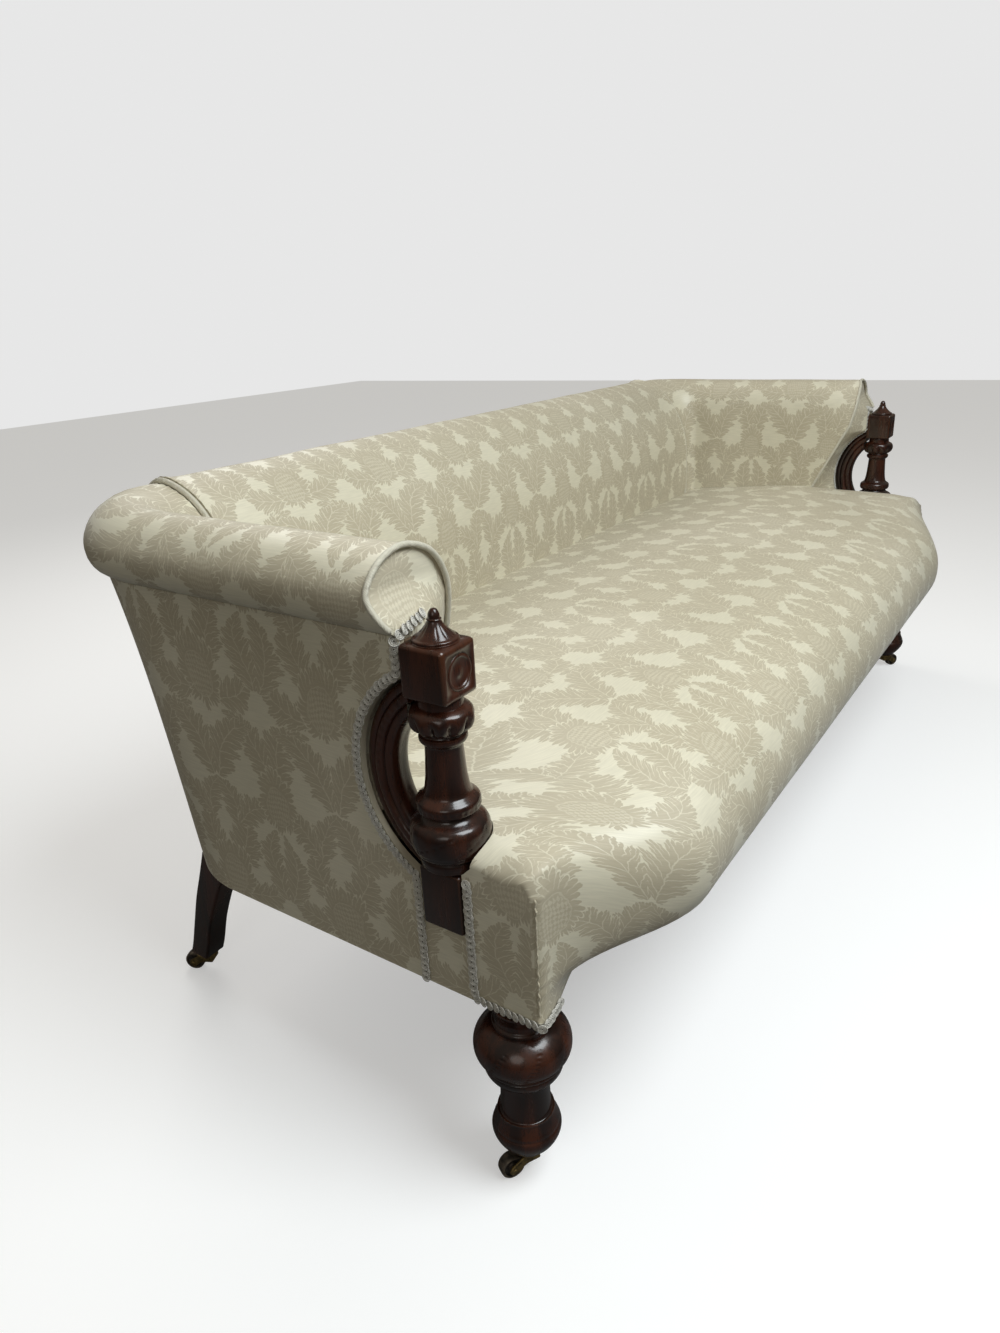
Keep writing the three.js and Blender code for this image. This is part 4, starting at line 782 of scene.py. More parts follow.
def worn_block(half, low_z, high_z, chamfer):
    """A square timber of the post with worn, rounded chamfers."""
    levels = [(low_z + up * chamfer, k) for up, k in WORN]
    levels += [(high_z - up * chamfer, k) for up, k in WORN[::-1]]
    rings = []
    for z, k in levels:
        h = half - chamfer * k
        rings.append(at_height(rounded_plan(POST_X, h, POST_Y - h, POST_Y + h, chamfer, 5), z))
    return crisp(solid("block", rings), 40)


def posts():
    foot, height = SQUARE_TOP_Z - HAIR, BLOCK_Z - SQUARE_TOP_Z
    low, high = SQUARE_TOP_Z + 0.805 * height, SQUARE_TOP_Z + 0.952 * height

    def carve(angle, r, z):
        share = (z - foot) / height
        leaf = np.abs(np.sin(3 * angle + 26 * (share - 0.18)))
        on_bulb = smooth((share - 0.13) / 0.02) * smooth((0.295 - share) / 0.02)
        lines = LEAF_CUT * bell(leaf, LINE_WIDTH) + FINE_CUT * (0.5 + 0.5 * np.sin(18 * angle - 60 * share))
        beads = BEAD_CUT * (0.5 - 0.5 * np.cos(30 * angle)) * bell(share - 0.378, 0.009)
        return r - on_bulb * lines - GROOVE_CUT * bell(share - 0.125, 0.006) - beads

    def gadroons(angle, r, z):
        rise = (z - low) / (high - low)
        notch = 1 - np.abs(np.cos(5 * angle)) ** 0.75
        return r * (1 - 0.2 * notch * smooth(rise / 0.12) * smooth((0.82 - rise) / 0.5))

    turned = [(r * BULB_R, foot + h * height) for r, h in TURNING_SHARES]
    profile = [(0, foot), *turned, (0.5 * BULB_R, BLOCK_Z + 0.001), (0, BLOCK_Z + 0.001)]
    turning = lathe("turning", profile, 120, POST_AT, carve, 170)
    lobes = [(r * RING_R, lerp(low, high, h)) for r, h in LOBE_SHARES]
    ring = lathe("lobes", lobes, 144, POST_AT, gadroons, 60)
    square = worn_block(POST_SIDE / 2, POST_FOOT_Z, SQUARE_TOP_Z, 0.0026)
    tenon = block((POST_X - 0.016, POST_Y - 0.017, POST_FOOT_Z - 0.040),
                  (POST_X + 0.002, POST_Y + 0.017, POST_FOOT_Z + 0.001))
    head = worn_block(BLOCK_SIDE / 2, BLOCK_Z, BLOCK_Z + BLOCK_H, 0.0042)
    bore = drum(PIN_R + HAIR, -PIN_DEPTH - 0.001, 0.0165, at=(POST_X, POST_Y, BLOCK_Z + BLOCK_H))
    cut_away(head, moved(drum(RECESS_R, -0.01, RECESS_DEPTH, 64), BLOCK_MID, -QUARTER, "X"), bore)
    both_sides(joined("arm_post", [turning, ring, square, tenon, head]), "arm_post", mahogany)


def finials():
    base = BLOCK_Z + BLOCK_H + HAIR

    def petals(angle, r, z):
        rise = (z - base) / FINIAL_H
        hold = smooth(1.3 - abs(rise - 0.36) / 0.19)
        return r * (1 - hold * 0.045 * (1 - np.abs(np.cos(6 * angle)) ** 0.6))

    profile = [(0, base), *[(r * FINIAL_R, base + h * FINIAL_H) for r, h in FINIAL_SHARES]]
    made = lathe("finial", profile, 144, POST_AT, petals, 80)
    pin = drum(PIN_R, base - PIN_DEPTH, base + 0.001, at=POST_AT)
    both_sides(joined("finial", [made, pin]), "finial", mahogany)


def roundels():
    made = lathe("roundel", [(r * ROUNDEL_R, h * ROUNDEL_DEPTH) for r, h in ROUNDEL_SHARES], 72, steps=70)
    face_at = Vector(BLOCK_MID) + Vector((0, RECESS_DEPTH, 0))
    both_sides(moved(made, face_at, QUARTER, "X"), "roundel", mahogany)


def brackets():
    """The open C bracket: a reeded band with a raised middle, its horns let into the post's line."""
    half = curve_through(BRACKET_SHARES, 60)
    out, across = np.vstack([half, half[-2:0:-1] * (1, -1)]).T
    radius = BRACKET_R - BRACKET_BAND * (1 - out)
    reach = math.acos((POST_BACK_Y + HAIR - BRACKET_Y) / BRACKET_R) + 0.12
    rings = []
    for angle in np.linspace(-reach, reach, 110):
        beads = 1 - 0.02 * (np.abs(across) > 0.44) * (1 + math.cos(angle * 66)) / 2
        y, z = BRACKET_Y + radius * math.cos(angle), BRACKET_Z + radius * math.sin(angle)
        rings.append(np.column_stack([POST_X + across * BRACKET_T * beads, y, z]))
    in_post = block((POST_X - 0.04, BRACKET_Y - 0.2, 0.2), (POST_X + 0.04, POST_BACK_Y + HAIR, 0.7))
    bulb = lathe("bulb_room", np.array(POST_ROOM) * MM, 64, POST_AT)
    made = cut_away(solid("arm_bracket", rings), in_post, bulb, drum(0.0334, 0.531, 0.566, 64, POST_AT))
    both_sides(crisp(made, 55), "arm_bracket", mahogany)


def socketed(leg, x, y):
    """Bores a leg's foot for its castor."""
    return cut_away(leg, drum(*LEG_SOCKET, at=(x, y, 0)))


def front_legs():
    """A squat bulb with leaf tips cut into its top, over rings, a straight stem and a bell-shaped foot."""
    def carve(angle, r, z):
        on_bulb = smooth((z - 0.173) / 0.006) * smooth((0.209 - z) / 0.006)
        leaf = np.abs(np.sin(4 * angle + 55 * (z - 0.19)))
        beads = LEG_BEAD_CUT * (0.5 - 0.5 * np.cos(48 * angle)) * bell(z - 0.1615, 0.0022)
        return r - on_bulb * LEG_LEAF_CUT * bell(leaf, LINE_WIDTH) - beads

    turning = curve_through(np.array(LEG_TURNING) * MM, 240)
    made = lathe("front_leg", [(0, turning[0, 1]), *turning, *LEG_TENON], 128, (LEG_X, LEG_Y, 0), carve)
    both_sides(crisp(socketed(made, LEG_X, LEG_Y), 48), "front_leg", mahogany)


def back_leg_rings(grow=0):
    """The raked upright and sabre leg in rings up from the foot, rounded at the arrises below the covers."""
    def ring(low, high, z, half, radius):
        points = np.array(rounded_plan(SABRE_X, half + grow, low - grow, high, radius, 8))
        if z >= SKIRT_Z:
            room = (REAR_CORNER_R - PANEL_T - 0.001) ** 2 - np.maximum(0, points[:, 0] - CORNER_X) ** 2
            rear = float(back_y(min(z, SEAM_Z))) - REAR_CORNER_R + np.sqrt(np.maximum(0, room))
            points[:, 1] = np.minimum(points[:, 1], rear)
        return at_height(points, z)

    top_y = float(back_y(SKIRT_Z)) - UPRIGHT_REACH + SABRE_TOP / 2
    line = [(lerp(top_y, SABRE_FOOT_Y, s), lerp(SKIRT_Z, CASTOR_H + HAIR, t),
             lerp(SABRE_TOP, SABRE_FOOT, min(1, 1.5 * t)) / 2) for s, t in zip(SABRE_SWEEPS, SABRE_DROPS)]
    rings = [ring(y - half, y + half + grow, z, SABRE_HALF, 0.004)
             for y, z, half in curve_through(line, 40)[::-1]]
    for z in (SKIRT_Z, *np.linspace(SKIRT_Z + 0.002, SEAM_Z - 0.0057 + grow, 24)):
        y = float(back_y(z))
        rings.append(ring(y - UPRIGHT_REACH, y - PANEL_T - HAIR, z, UPRIGHT_HALF, 0.001))
    return rings


def back_legs():
    made = socketed(solid("back_leg", back_leg_rings()), SABRE_X, SABRE_FOOT_Y)
    both_sides(crisp(made, 40), "back_leg", mahogany)


def castors():
    """Brass horns, plates and axles, and a turned wheel, each on its own moving part."""
    axle_z = WHEEL_R * math.cos(math.pi / 16)
    cheek_y = WHEEL_W / 2 + WHEEL_GAP
    outline = np.array(HORN_SHARES) * (CASTOR_TRAIL, CROWN_Z)
    centre = outline.mean(axis=0)
    wheel_half = np.array(HALF_WHEEL) * MM
    axle_half = np.array(HALF_AXLE) * MM - (0, cheek_y + CHEEK_T + WHEEL_GAP)
    for corner, heading in CASTOR_HEADINGS.items():
        x, y = (LEG_X, LEG_Y) if corner.startswith("front") else (SABRE_X, SABRE_FOOT_Y)
        plate = cut_away(lathe("plate", np.array(PLATE) * MM, 56), drum(*PLATE_BORE))
        parts = [block((BRIDGE_REAR, -cheek_y - 0.001, 0.6 * CROWN_Z),
                       (BRIDGE_AHEAD, cheek_y + 0.001, CROWN_Z - 0.0002)),
                 drum(STEM_R, CROWN_Z - 0.001, CROWN_Z + STEM_RISE)]
        for low in (-cheek_y - CHEEK_T, cheek_y):
            levels = [(centre + (outline - centre) * k, low + deep * CHEEK_T) for deep, k in CHEEK_SHARES]
            parts.insert(0, solid("cheek", [at_height(line, level)[:, [0, 2, 1]] for line, level in levels]))
        fork = joined("fork", parts)
        softened = fork.modifiers.new("soft", "BEVEL")
        softened.width, softened.segments = SOFTENING, 2
        apply_modifiers(fork)
        axle = lathe("axle", [*axle_half, *(axle_half[::-1] * (1, -1))], 28)
        wheel = lathe("wheel", [*wheel_half, *(wheel_half[-2::-1] * (1, -1)), wheel_half[0]], 64)
        for piece in (axle, wheel):
            moved(piece, (CASTOR_TRAIL, 0, axle_z), QUARTER, "X")
        swivel, roller = f"castor_swivel_{corner}", f"castor_roller_{corner}"
        for piece, name, finish, body in (
                (plate, "plate", brass, "frame"), (fork, "fork", brass, swivel),
                (axle, "axle", brass, swivel), (wheel, "wheel", wheel_metal, roller)):
            piece.name = f"{name}_{corner}"
            moved(piece, (x if corner.endswith("right") else -x, y, 0), math.radians(heading))
            finish_piece(piece, finish, f"castor_{name}_{corner}", body=body)


# Layouts of nodes

SOCKETS = {"v": "NodeSocketVector", "f": "NodeSocketFloat", "g": "NodeSocketGeometry",
           "m": "NodeSocketMaterial"}


class Wire:
    """A node's output, for writing sums with."""

    def __init__(self, nodes, socket):
        self.nodes, self.socket = nodes, socket

    def __add__(self, other):
        return self.nodes.math("ADD", self, other)

    def __sub__(self, other):
        return self.nodes.math("SUBTRACT", self, other)

    def __rsub__(self, other):
        return self.nodes.math("SUBTRACT", other, self)

    def __mul__(self, other):
        return self.nodes.math("MULTIPLY", self, other)

    def __truediv__(self, other):
        return self.nodes.math("DIVIDE", self, other)

    def __pow__(self, other):
        return self.nodes.math("POWER", self, other)

    def __abs__(self):
        return self.nodes.math("ABSOLUTE", self)

    def sine(self):
        return self.nodes.math("SINE", self)


class Nodes:
    """A short hand for laying out nodes in a tree."""

    def __init__(self, tree):
        self.tree = tree

    def feed(self, socket, value):
        value = getattr(value, "socket", value)
        if isinstance(value, bpy.types.NodeSocket):
            self.tree.links.new(value, socket)
        elif value is not None:
            socket.default_value = value

    def feeds(self, sockets, **values):
        """Feeds sockets by their names, and gives the tree."""
        for key, value in values.items():
            self.feed(sockets[key.replace("_", " ")], value)
        return self.tree

    def add(self, kind, inputs=(), **settings):
        made = self.tree.nodes.new(kind)
        for key, value in settings.items():
            setattr(made, key, value)
        for key, value in dict(inputs).items():
            self.feed(made.inputs[key], value)
        return made

    def out(self, kind, inputs=(), key=0, **settings):
        """One output of a new node."""
        return Wire(self, self.add(kind, inputs, **settings).outputs[key])

    def outs(self, made):
        return {socket.name: Wire(self, socket) for socket in made.outputs}

    def split(self, vector):
        return list(self.outs(self.add("ShaderNodeSeparateXYZ", {0: vector})).values())

    def math(self, operation, *values, clamp=False):
        return self.out("ShaderNodeMath", enumerate(values), operation=operation, use_clamp=clamp)

    def most(self, *values):
        return functools.reduce(lambda a, b: self.math("MAXIMUM", a, b), values)

    def ramp(self, value, low, high, to_low=0.0, to_high=1.0, kind="SMOOTHSTEP"):
        ends = {"Value": value, "From Min": low, "From Max": high, "To Min": to_low, "To Max": to_high}
        return self.out("ShaderNodeMapRange", ends, interpolation_type=kind)

    def mix(self, share, a, b, blend="MIX"):
        a, b = [(*color, 1) if isinstance(color, tuple) else color for color in (a, b)]
        return self.out("ShaderNodeMix", {0: share, 6: a, 7: b}, 2, data_type="RGBA", blend_type=blend)

    def rgb(self, *shares):
        return self.out("ShaderNodeCombineColor", enumerate(shares))

    def noise(self, vector, scale, detail=3.0, rough=0.5, key="Fac"):
        inputs = {"Vector": vector, "Scale": scale, "Detail": detail, "Roughness": rough}
        return self.out("ShaderNodeTexNoise", inputs, key)

    def bump(self, height, strength, distance, normal=None):
        inputs = {"Strength": strength, "Distance": distance, "Height": height, "Normal": normal}
        return self.out("ShaderNodeBump", inputs)

    def place(self, key="Object"):
        return self.out("ShaderNodeTexCoord", key=key)

    def cloth(self):
        return self.out("ShaderNodeUVMap", uv_map="cloth")

    def worn(self):
        return self.out("ShaderNodeNewGeometry", key="Pointiness")

    def stretched(self, vector, scale):
        return self.out("ShaderNodeMapping", {"Vector": vector, "Scale": scale})

    def group(self, tree, **inputs):
        made = self.add("ShaderNodeGroup", node_tree=tree)
        self.feeds(made.inputs, **inputs)
        return self.outs(made)


def new_group(name, inputs, outputs, kind="ShaderNodeTree"):
    """A node group to lay out: its nodes, its inputs, and the sockets that its results are fed to."""
    tree = bpy.data.node_groups.new(name, kind)
    for label, socket, *value in inputs:
        made = tree.interface.new_socket(label, in_out="INPUT", socket_type=SOCKETS[socket])
        if value:
            made.default_value = value[0]
    for label, socket in outputs:
        tree.interface.new_socket(label, in_out="OUTPUT", socket_type=SOCKETS[socket])
    nodes = Nodes(tree)
    return nodes, nodes.outs(nodes.add("NodeGroupInput")), nodes.add("NodeGroupOutput").inputs


# The braid

GIMP_WIDTH = 0.010
GIMP_LIFT = 0.0004
LOOP_PITCH, LOOP_R, LOOP_THREAD = 0.0078, 0.0047, 0.0007
LOOP_STAGGER, LOOP_LIFT = 0.0004, 0.0021
TAPE_STEP = 0.004
TAPE_SHARES = ((-0.36, 0), (-0.34, 0.0006), (-0.1, 0.0007), (0, 0.0008), (0.1, 0.0007), (0.34, 0.0006),
               (0.36, 0))


def braid_tree():
    """Loops of thread, one in another, at every marked point."""
    inputs = (("Marks", "g"), ("Loop radius", "f", 0.0023), ("Thread", "f", 0.0007), ("Finish", "m"))
    nodes, given, result = new_group("scroll braid", inputs, (("Braid", "g"),), "GeometryNodeTree")
    circle = "GeometryNodeCurvePrimitiveCircle"
    scroll = nodes.add("GeometryNodeJoinGeometry")
    for share in (1, 0.66, 0.33):
        size = {"Resolution": 6 + int(8 * share), "Radius": given["Loop radius"] * share}
        nodes.feed(scroll.inputs[0], nodes.out(circle, size, "Curve"))
    squash = nodes.out("GeometryNodeTransform", {"Geometry": scroll.outputs[0], "Scale": (0.98, 1.08, 1)})
    thread = nodes.out(circle, {"Resolution": 4, "Radius": given["Thread"]}, "Curve")
    tube = nodes.out("GeometryNodeCurveToMesh", {"Curve": squash, "Profile Curve": thread})
    stored = "GeometryNodeInputNamedAttribute"
    ways = [nodes.out(stored, {"Name": name}, "Attribute", data_type="FLOAT_VECTOR")
            for name in ("out", "along")]
    turn = nodes.out("FunctionNodeAxesToRotation", {"Primary Axis": ways[0], "Secondary Axis": ways[1]},
                     primary_axis="Z", secondary_axis="X")
    inputs = {"Points": given["Marks"], "Instance": tube, "Rotation": turn}
    made = nodes.out("GeometryNodeInstanceOnPoints", inputs)
    for kind in ("GeometryNodeRealizeInstances", "GeometryNodeSetShadeSmooth"):
        made = nodes.out(kind, {"Geometry": made})
    made = nodes.out("GeometryNodeSetMaterial", {"Geometry": made, "Material": given["Finish"]})
    return nodes.feeds(result, Braid=made)


def frames_along(path, outward, at):
    """Places at given lengths along a path, with the ways out, along and across there."""
    far = lengths_along(path)
    place = along_line(at, far, path)
    out, along = unit(along_line(at, far, outward)), unit(np.gradient(place, axis=0))
    return place, out, along, np.cross(along, out)


def braid(name, marks):
    """A scroll braid along marks on a surface, each a point and the surface's outward direction there."""
    path, outward = [np.array(part, float) for part in zip(*marks)]
    length = lengths_along(path)[-1]
    count = max(2, round(length / LOOP_PITCH))
    place, out, along, across = frames_along(path, outward, (np.arange(count) + 0.5) * length / count)
    way = np.where(np.arange(count) % 2, 1, -1)[:, None]
    mesh = bpy.data.meshes.new(name)
    mesh.from_pydata((place + across * LOOP_STAGGER * way + out * LOOP_LIFT).tolist(), [], [])
    for label, vectors in (("along", along + 0.2 * way * across), ("out", out - 0.3 * along)):
        layer = mesh.attributes.new(label, "FLOAT_VECTOR", "POINT")
        layer.data.foreach_set("vector", vectors.astype(np.float32).ravel())
    loops = link(name, mesh)
    grown = loops.modifiers.new("braid", "NODES")
    grown.node_group = scroll_braid
    given = {"Loop radius": LOOP_R, "Thread": LOOP_THREAD, "Finish": gimp}
    for socket in scroll_braid.interface.items_tree:
        if socket.name in given:
            grown[socket.identifier] = given[socket.name]
    apply_modifiers(loops)
    at = np.linspace(0, length, max(8, int(length / TAPE_STEP)))
    place, out, along, across = frames_along(path, outward, at)
    rings, maps = [], []
    for p, o, a, f in zip(place, out, across, at):
        rings.append([p + a * u * GIMP_WIDTH + o * (v + GIMP_LIFT) for u, v in TAPE_SHARES])
        maps.append([(f, u * GIMP_WIDTH) for u, _ in TAPE_SHARES] + [(f, -GIMP_WIDTH / 2)])
    both_sides(joined(name, [loops, solid("shade_tape", rings, maps)]), name, gimp)


def facing_out(x, z, step=0.005):
    """Which way an arm's front faces at x and z."""
    lean_x = float(facing_y(x + step, z) - facing_y(x - step, z)) / (2 * step)
    lean_z = float(facing_y(x, z + step) - facing_y(x, z - step)) / (2 * step)
    return lean_x, -1, lean_z


def gimps():
    """The braids round the bracket, along the front's hem, and up the facing beside the post."""
    side_out = (1, 0, 0)
    marks = []
    for t in np.linspace(0, 1, 14):
        x, z = lerp(POST_X - 0.0225, PANEL_X - 0.004, t), SEAM_Z + lerp(0.011, 0.0035, t)
        marks.append(((x, float(facing_y(x, z)) - 0.0005, z), facing_out(x, z)))
    ride = BRACKET_R + GIMP_WIDTH / 2 + 2 * HAIR
    behind_y = POST_BACK_Y + GIMP_WIDTH / 2 + 3 * HAIR
    reach = math.acos((behind_y - BRACKET_Y) / ride)
    arc = [(BRACKET_Y + ride * math.cos(a), BRACKET_Z + ride * math.sin(a))
           for a in np.linspace(reach, -reach, 60)]
    line = [*[(behind_y, z) for z in np.linspace(SEAM_Z - GIMP_WIDTH, arc[0][1] + 0.004, 8)], *arc,
            *[(behind_y, z) for z in np.linspace(arc[-1][1] - 0.004, SKIRT_Z + 2 * HAIR, 30)]]
    marks.append(((PANEL_X - HAIR, behind_y - 0.001, SEAM_Z - 0.001), (1, -1, 0.3)))
    braid("gimp_bracket", marks + [((PANEL_X, y, z), side_out) for y, z in line])

    edge_y = POST_Y - POST_SIDE / 2 - GIMP_WIDTH / 2 - 8 * HAIR
    hem_z = SKIRT_Z + GIMP_WIDTH / 2
    line = [(edge_y, z) for z in np.linspace(SQUARE_TOP_Z - 4 * HAIR, hem_z + GIMP_WIDTH, 30)]
    line += [(edge_y - 0.004 * math.sin(t), hem_z + 0.006 * (1 - math.sin(t))) for t in (0.4, 0.9, 1.3)]
    line += [(y, hem_z) for y in np.linspace(edge_y - 0.008, CORNER_Y + 0.003, 20)]
    marks = [((PANEL_X, y, z), side_out) for y, z in line]
    marks.append(((PANEL_X + HAIR, CORNER_Y - HAIR, hem_z), (1, -1, 0)))
    for x in PANEL_X * np.linspace(0.994, 0.952, 10):
        hem = seat_line(x, 130)[:20]
        marks.append(((x, np.interp(hem_z, hem[:, 1], hem[:, 0]) - 4 * HAIR, hem_z), (0, -1, 0.1)))
    braid("gimp_front", marks)

    x = POST_X - BRACKET_T / 2 - GIMP_WIDTH / 2 - 4 * HAIR
    braid("gimp_facing", [((x, float(facing_y(x, z)), z), facing_out(x, z))
                          for z in np.linspace(CREASE_Z + GIMP_WIDTH, SEAM_Z + 0.004, 70)])


# The damask's figure

FIGURE_SCALE = 0.64
REPEAT_ACROSS, REPEAT_UP = 0.30 * FIGURE_SCALE, 0.42 * FIGURE_SCALE
PLACE_INPUTS = (("Across", "f"), ("Up", "f"), ("Repeat up", "f"), ("Centre across", "f"), ("Centre up", "f"))
MOTIF_OUTPUTS = (("Motif", "f"), ("Vein", "f"), ("Margin", "f"))
# Leaves of the figure: centre across, centre up, turn, length, width, curl, lobes
FIGURE_LEAVES = ((0.118, -0.105, 2.05, 0.162, 0.042, 0.75, 6), (0.040, -0.115, 0.95, 0.162, 0.044, -0.75, 6),
                 (0.090, -0.020, 0.35, 0.125, 0.037, 0.8, 5), (0.118, 0.065, 1.75, 0.145, 0.039, -0.6, 6),
                 (0.048, 0.085, 1.15, 0.150, 0.042, 0.75, 6), (0.030, 0.180, 1.9, 0.115, 0.034, 0.6, 5),
                 (0.085, 0.170, 0.55, 0.115, 0.033, -0.7, 5))
# Heads of the figure: centre across, centre up, size, petals
FIGURE_HEADS = ((0.0, 0.0, 0.064, 4), (0.15, 0.195, 0.060, 4))


def motif_group(name, inputs):
    """A motif's group, with how far a point of the cloth lies from its centre, in a pattern that repeats."""
    nodes, given, result = new_group(name, PLACE_INPUTS + inputs, MOTIF_OUTPUTS)
    half = given["Repeat up"] * 0.5
    above = nodes.math("FLOORED_MODULO", given["Up"] - given["Centre up"] + half, given["Repeat up"])
    return nodes, given, result, given["Across"] - given["Centre across"], above - half


def leaf_group():
    """One acanthus leaf: curling over at its tip, with ruffled lobes, a midrib and many fine veins."""
    nodes, given, result, dx, dy = motif_group("acanthus leaf", tuple(
        (label, "f") for label in ("Way across", "Way up", "Length", "Slenderness", "Curl", "Lobes")))
    m, ramp = nodes.math, nodes.ramp
    c, s, length = given["Way across"], given["Way up"], given["Length"]
    along, side = (dx * c + dy * s) / length, (dy * c - dx * s) / length
    bend = along * along * m("MULTIPLY_ADD", along, 0.9, 1.0)
    far = abs(side - bend * given["Curl"])
    share = m("ADD", along, 0.5, clamp=True)
    body = (share ** 0.85 * math.pi).sine() ** 0.6
    across = far / nodes.most(body * given["Slenderness"], 0.001)
    turn = (share - far ** 0.8 * 0.62) * (given["Lobes"] * math.pi)
    wave, fine_wave = abs(turn.sine()), abs((turn * 4.0).sine())
    edge = m("MULTIPLY_ADD", fine_wave ** 0.7, 0.2, 0.32)
    depth = m("MULTIPLY_ADD", wave ** 0.6, 0.48, edge) - across
    inside = ramp(depth, -0.02, 0.02)
    midrib = ramp(far, 0.004, 0.009, 1, 0) * ramp(share, 0.98, 0.8)
    heart = ramp(wave, 0.985, 0.996) * ramp(across, 0.8, 0.6)
    notch = ramp(wave, 0.13, 0.05) * ramp(across, 0.22, 0.36)
    strokes = ramp(fine_wave, 0.34, 0.16) * ramp(across, 0.46, 0.62)
    return nodes.feeds(result, Motif=inside, Vein=inside * nodes.most(midrib, heart, notch, strokes),
                       Margin=ramp(depth, -0.14, -0.08))


def head_group():
    """One thistle head: rows of scales in a ring of ruffled petals."""
    nodes, given, result, dx, dy = motif_group("thistle head", (("Size", "f"), ("Petals", "f")))
    m, ramp = nodes.math, nodes.ramp
    up = dy * 0.78
    reach = m("SQRT", dx * dx + up * up) / given["Size"]
    angle = m("ARCTAN2", dx, up)
    turn = (angle + reach * 0.5) * given["Petals"]
    wave, fine_wave = abs(turn.sine()), abs((turn * 4.0).sine())
    edge = m("MULTIPLY_ADD", fine_wave ** 0.8, 0.17, 0.5)
    edge = m("MULTIPLY_ADD", wave ** 0.7, 0.22, edge)
    depth = m("MULTIPLY_ADD", m("COSINE", angle), 0.14, edge) - reach
    inside = ramp(depth, -0.012, 0.012)
    notch = ramp(wave, 0.16, 0.07) * ramp(reach, 0.56, 0.64)
    strokes = ramp(fine_wave, 0.36, 0.2) * ramp(reach, 0.56, 0.66)
    spread, rows = dx * 760.0, up * 620.0
    scales = ramp((rows + spread).sine() * (rows - spread).sine(), 0.10, -0.12) * ramp(reach, 0.50, 0.46)
    rim = ramp(reach, 0.485, 0.5) * ramp(reach, 0.53, 0.515)
    veins = nodes.most(scales, rim, notch, strokes) * 0.62
    return nodes.feeds(result, Motif=inside, Vein=inside * veins, Margin=ramp(depth, -0.07, -0.04))


def figure_group():
    """The damask figure from a cloth map in metres: leaves and thistle heads either side of mirror lines."""
    nodes, given, result = new_group("damask figure", (
        ("Cloth", "v"), ("Repeat across", "f", REPEAT_ACROSS), ("Repeat up", "f", REPEAT_UP)),
        (("Figure", "f"), ("Vein", "f")))
    m = nodes.math
    u, v, _ = nodes.split(given["Cloth"])
    for scale, detail, rough, reach in ((11.0, 2.0, 0.55, 0.034), (150.0, 1.0, 0.5, 0.0046)):
        shift = nodes.split(nodes.noise(given["Cloth"], scale, detail, rough, "Color"))
        u, v = [m("MULTIPLY_ADD", way - 0.5, reach, place) for way, place in zip(shift, (u, v))]
    across = m("PINGPONG", u, given["Repeat across"] * 0.5)

    def motif(tree, x, y, **shape):
        return nodes.group(tree, Across=across, Up=v, Repeat_up=given["Repeat up"],
                           Centre_across=x * FIGURE_SCALE, Centre_up=y * FIGURE_SCALE, **shape)

    motifs = [motif(acanthus_leaf, x, y, Way_across=math.cos(turn), Way_up=math.sin(turn),
                    Length=length * FIGURE_SCALE, Slenderness=width / length, Curl=curl, Lobes=lobes)
              for x, y, turn, length, width, curl, lobes in FIGURE_LEAVES]
    motifs += [motif(thistle_head, x, y, Size=size * FIGURE_SCALE, Petals=petals)
               for x, y, size, petals in FIGURE_HEADS]
    figure, vein = motifs[0]["Motif"], motifs[0]["Vein"]
    for over in motifs[1:]:
        clear = 1 - over["Margin"]
        vein, figure = nodes.most(vein * clear, over["Vein"]), nodes.most(figure * clear, over["Motif"])
    return nodes.feeds(result, Figure=figure * (1 - vein * 0.7), Vein=vein)


def weave_group():
    """Fine satin threads and slubs from a cloth map in metres."""
    nodes, given, result = new_group("satin weave", (("Cloth", "v"), ("Threads per metre", "f", 1500)),
                                     (("Height", "f"), ("Slub", "f")))
    across, up, _ = nodes.split(given["Cloth"])
    warp = (across * (given["Threads per metre"] * math.pi)).sine()
    weft = (up * (given["Threads per metre"] * (math.pi * 0.7))).sine()
    slub = nodes.noise(nodes.stretched(given["Cloth"], (14, 160, 1)), 3.0, 2.0)
    return nodes.feeds(result, Height=nodes.math("MULTIPLY_ADD", warp * weft, 0.5, 0.5), Slub=slub)


# Materials

RIB_PITCH, PIPING_GATHER = 0.0016, 0.011


def material(name, color, roughness, metallic=0.0, **shader):
    made = bpy.data.materials.new(name)
    made.use_nodes = True
    made.diffuse_color = (*color, 1)
    bsdf = made.node_tree.nodes["Principled BSDF"].inputs
    nodes = Nodes(made.node_tree)
    nodes.feeds(bsdf, Base_Color=(*color, 1), Roughness=roughness, Metallic=metallic, **shader)
    return made, nodes, bsdf


def damask_material():
    made, nodes, bsdf = material("damask", (0.62, 0.56, 0.42), 0.46, Sheen_Weight=0.18, Sheen_Roughness=0.4,
                                 Specular_IOR_Level=0.5)
    cloth = nodes.cloth()
    figure, weave = nodes.group(damask_figure, Cloth=cloth)["Figure"], nodes.group(satin_weave, Cloth=cloth)
    tone = nodes.noise(nodes.place(), 2.4, 2.0)
    ground = nodes.mix(nodes.ramp(tone, 0.35, 0.65), (0.625, 0.585, 0.448), (0.685, 0.642, 0.505))
    leaf = nodes.mix(nodes.ramp(tone, 0.4, 0.7), (0.455, 0.402, 0.290), (0.51, 0.457, 0.342))
    slub = nodes.ramp(weave["Slub"], 0.3, 0.7, 0.93, 1.04, "LINEAR")
    color = nodes.mix(1.0, nodes.mix(figure, ground, leaf), nodes.rgb(slub, slub, slub), "MULTIPLY")
    nodes.feeds(bsdf, Base_Color=color, Roughness=nodes.ramp(figure, 0, 1, 0.4, 0.62, "LINEAR"),
                Normal=nodes.bump(weave["Height"], 0.12, 0.0004))
    return made


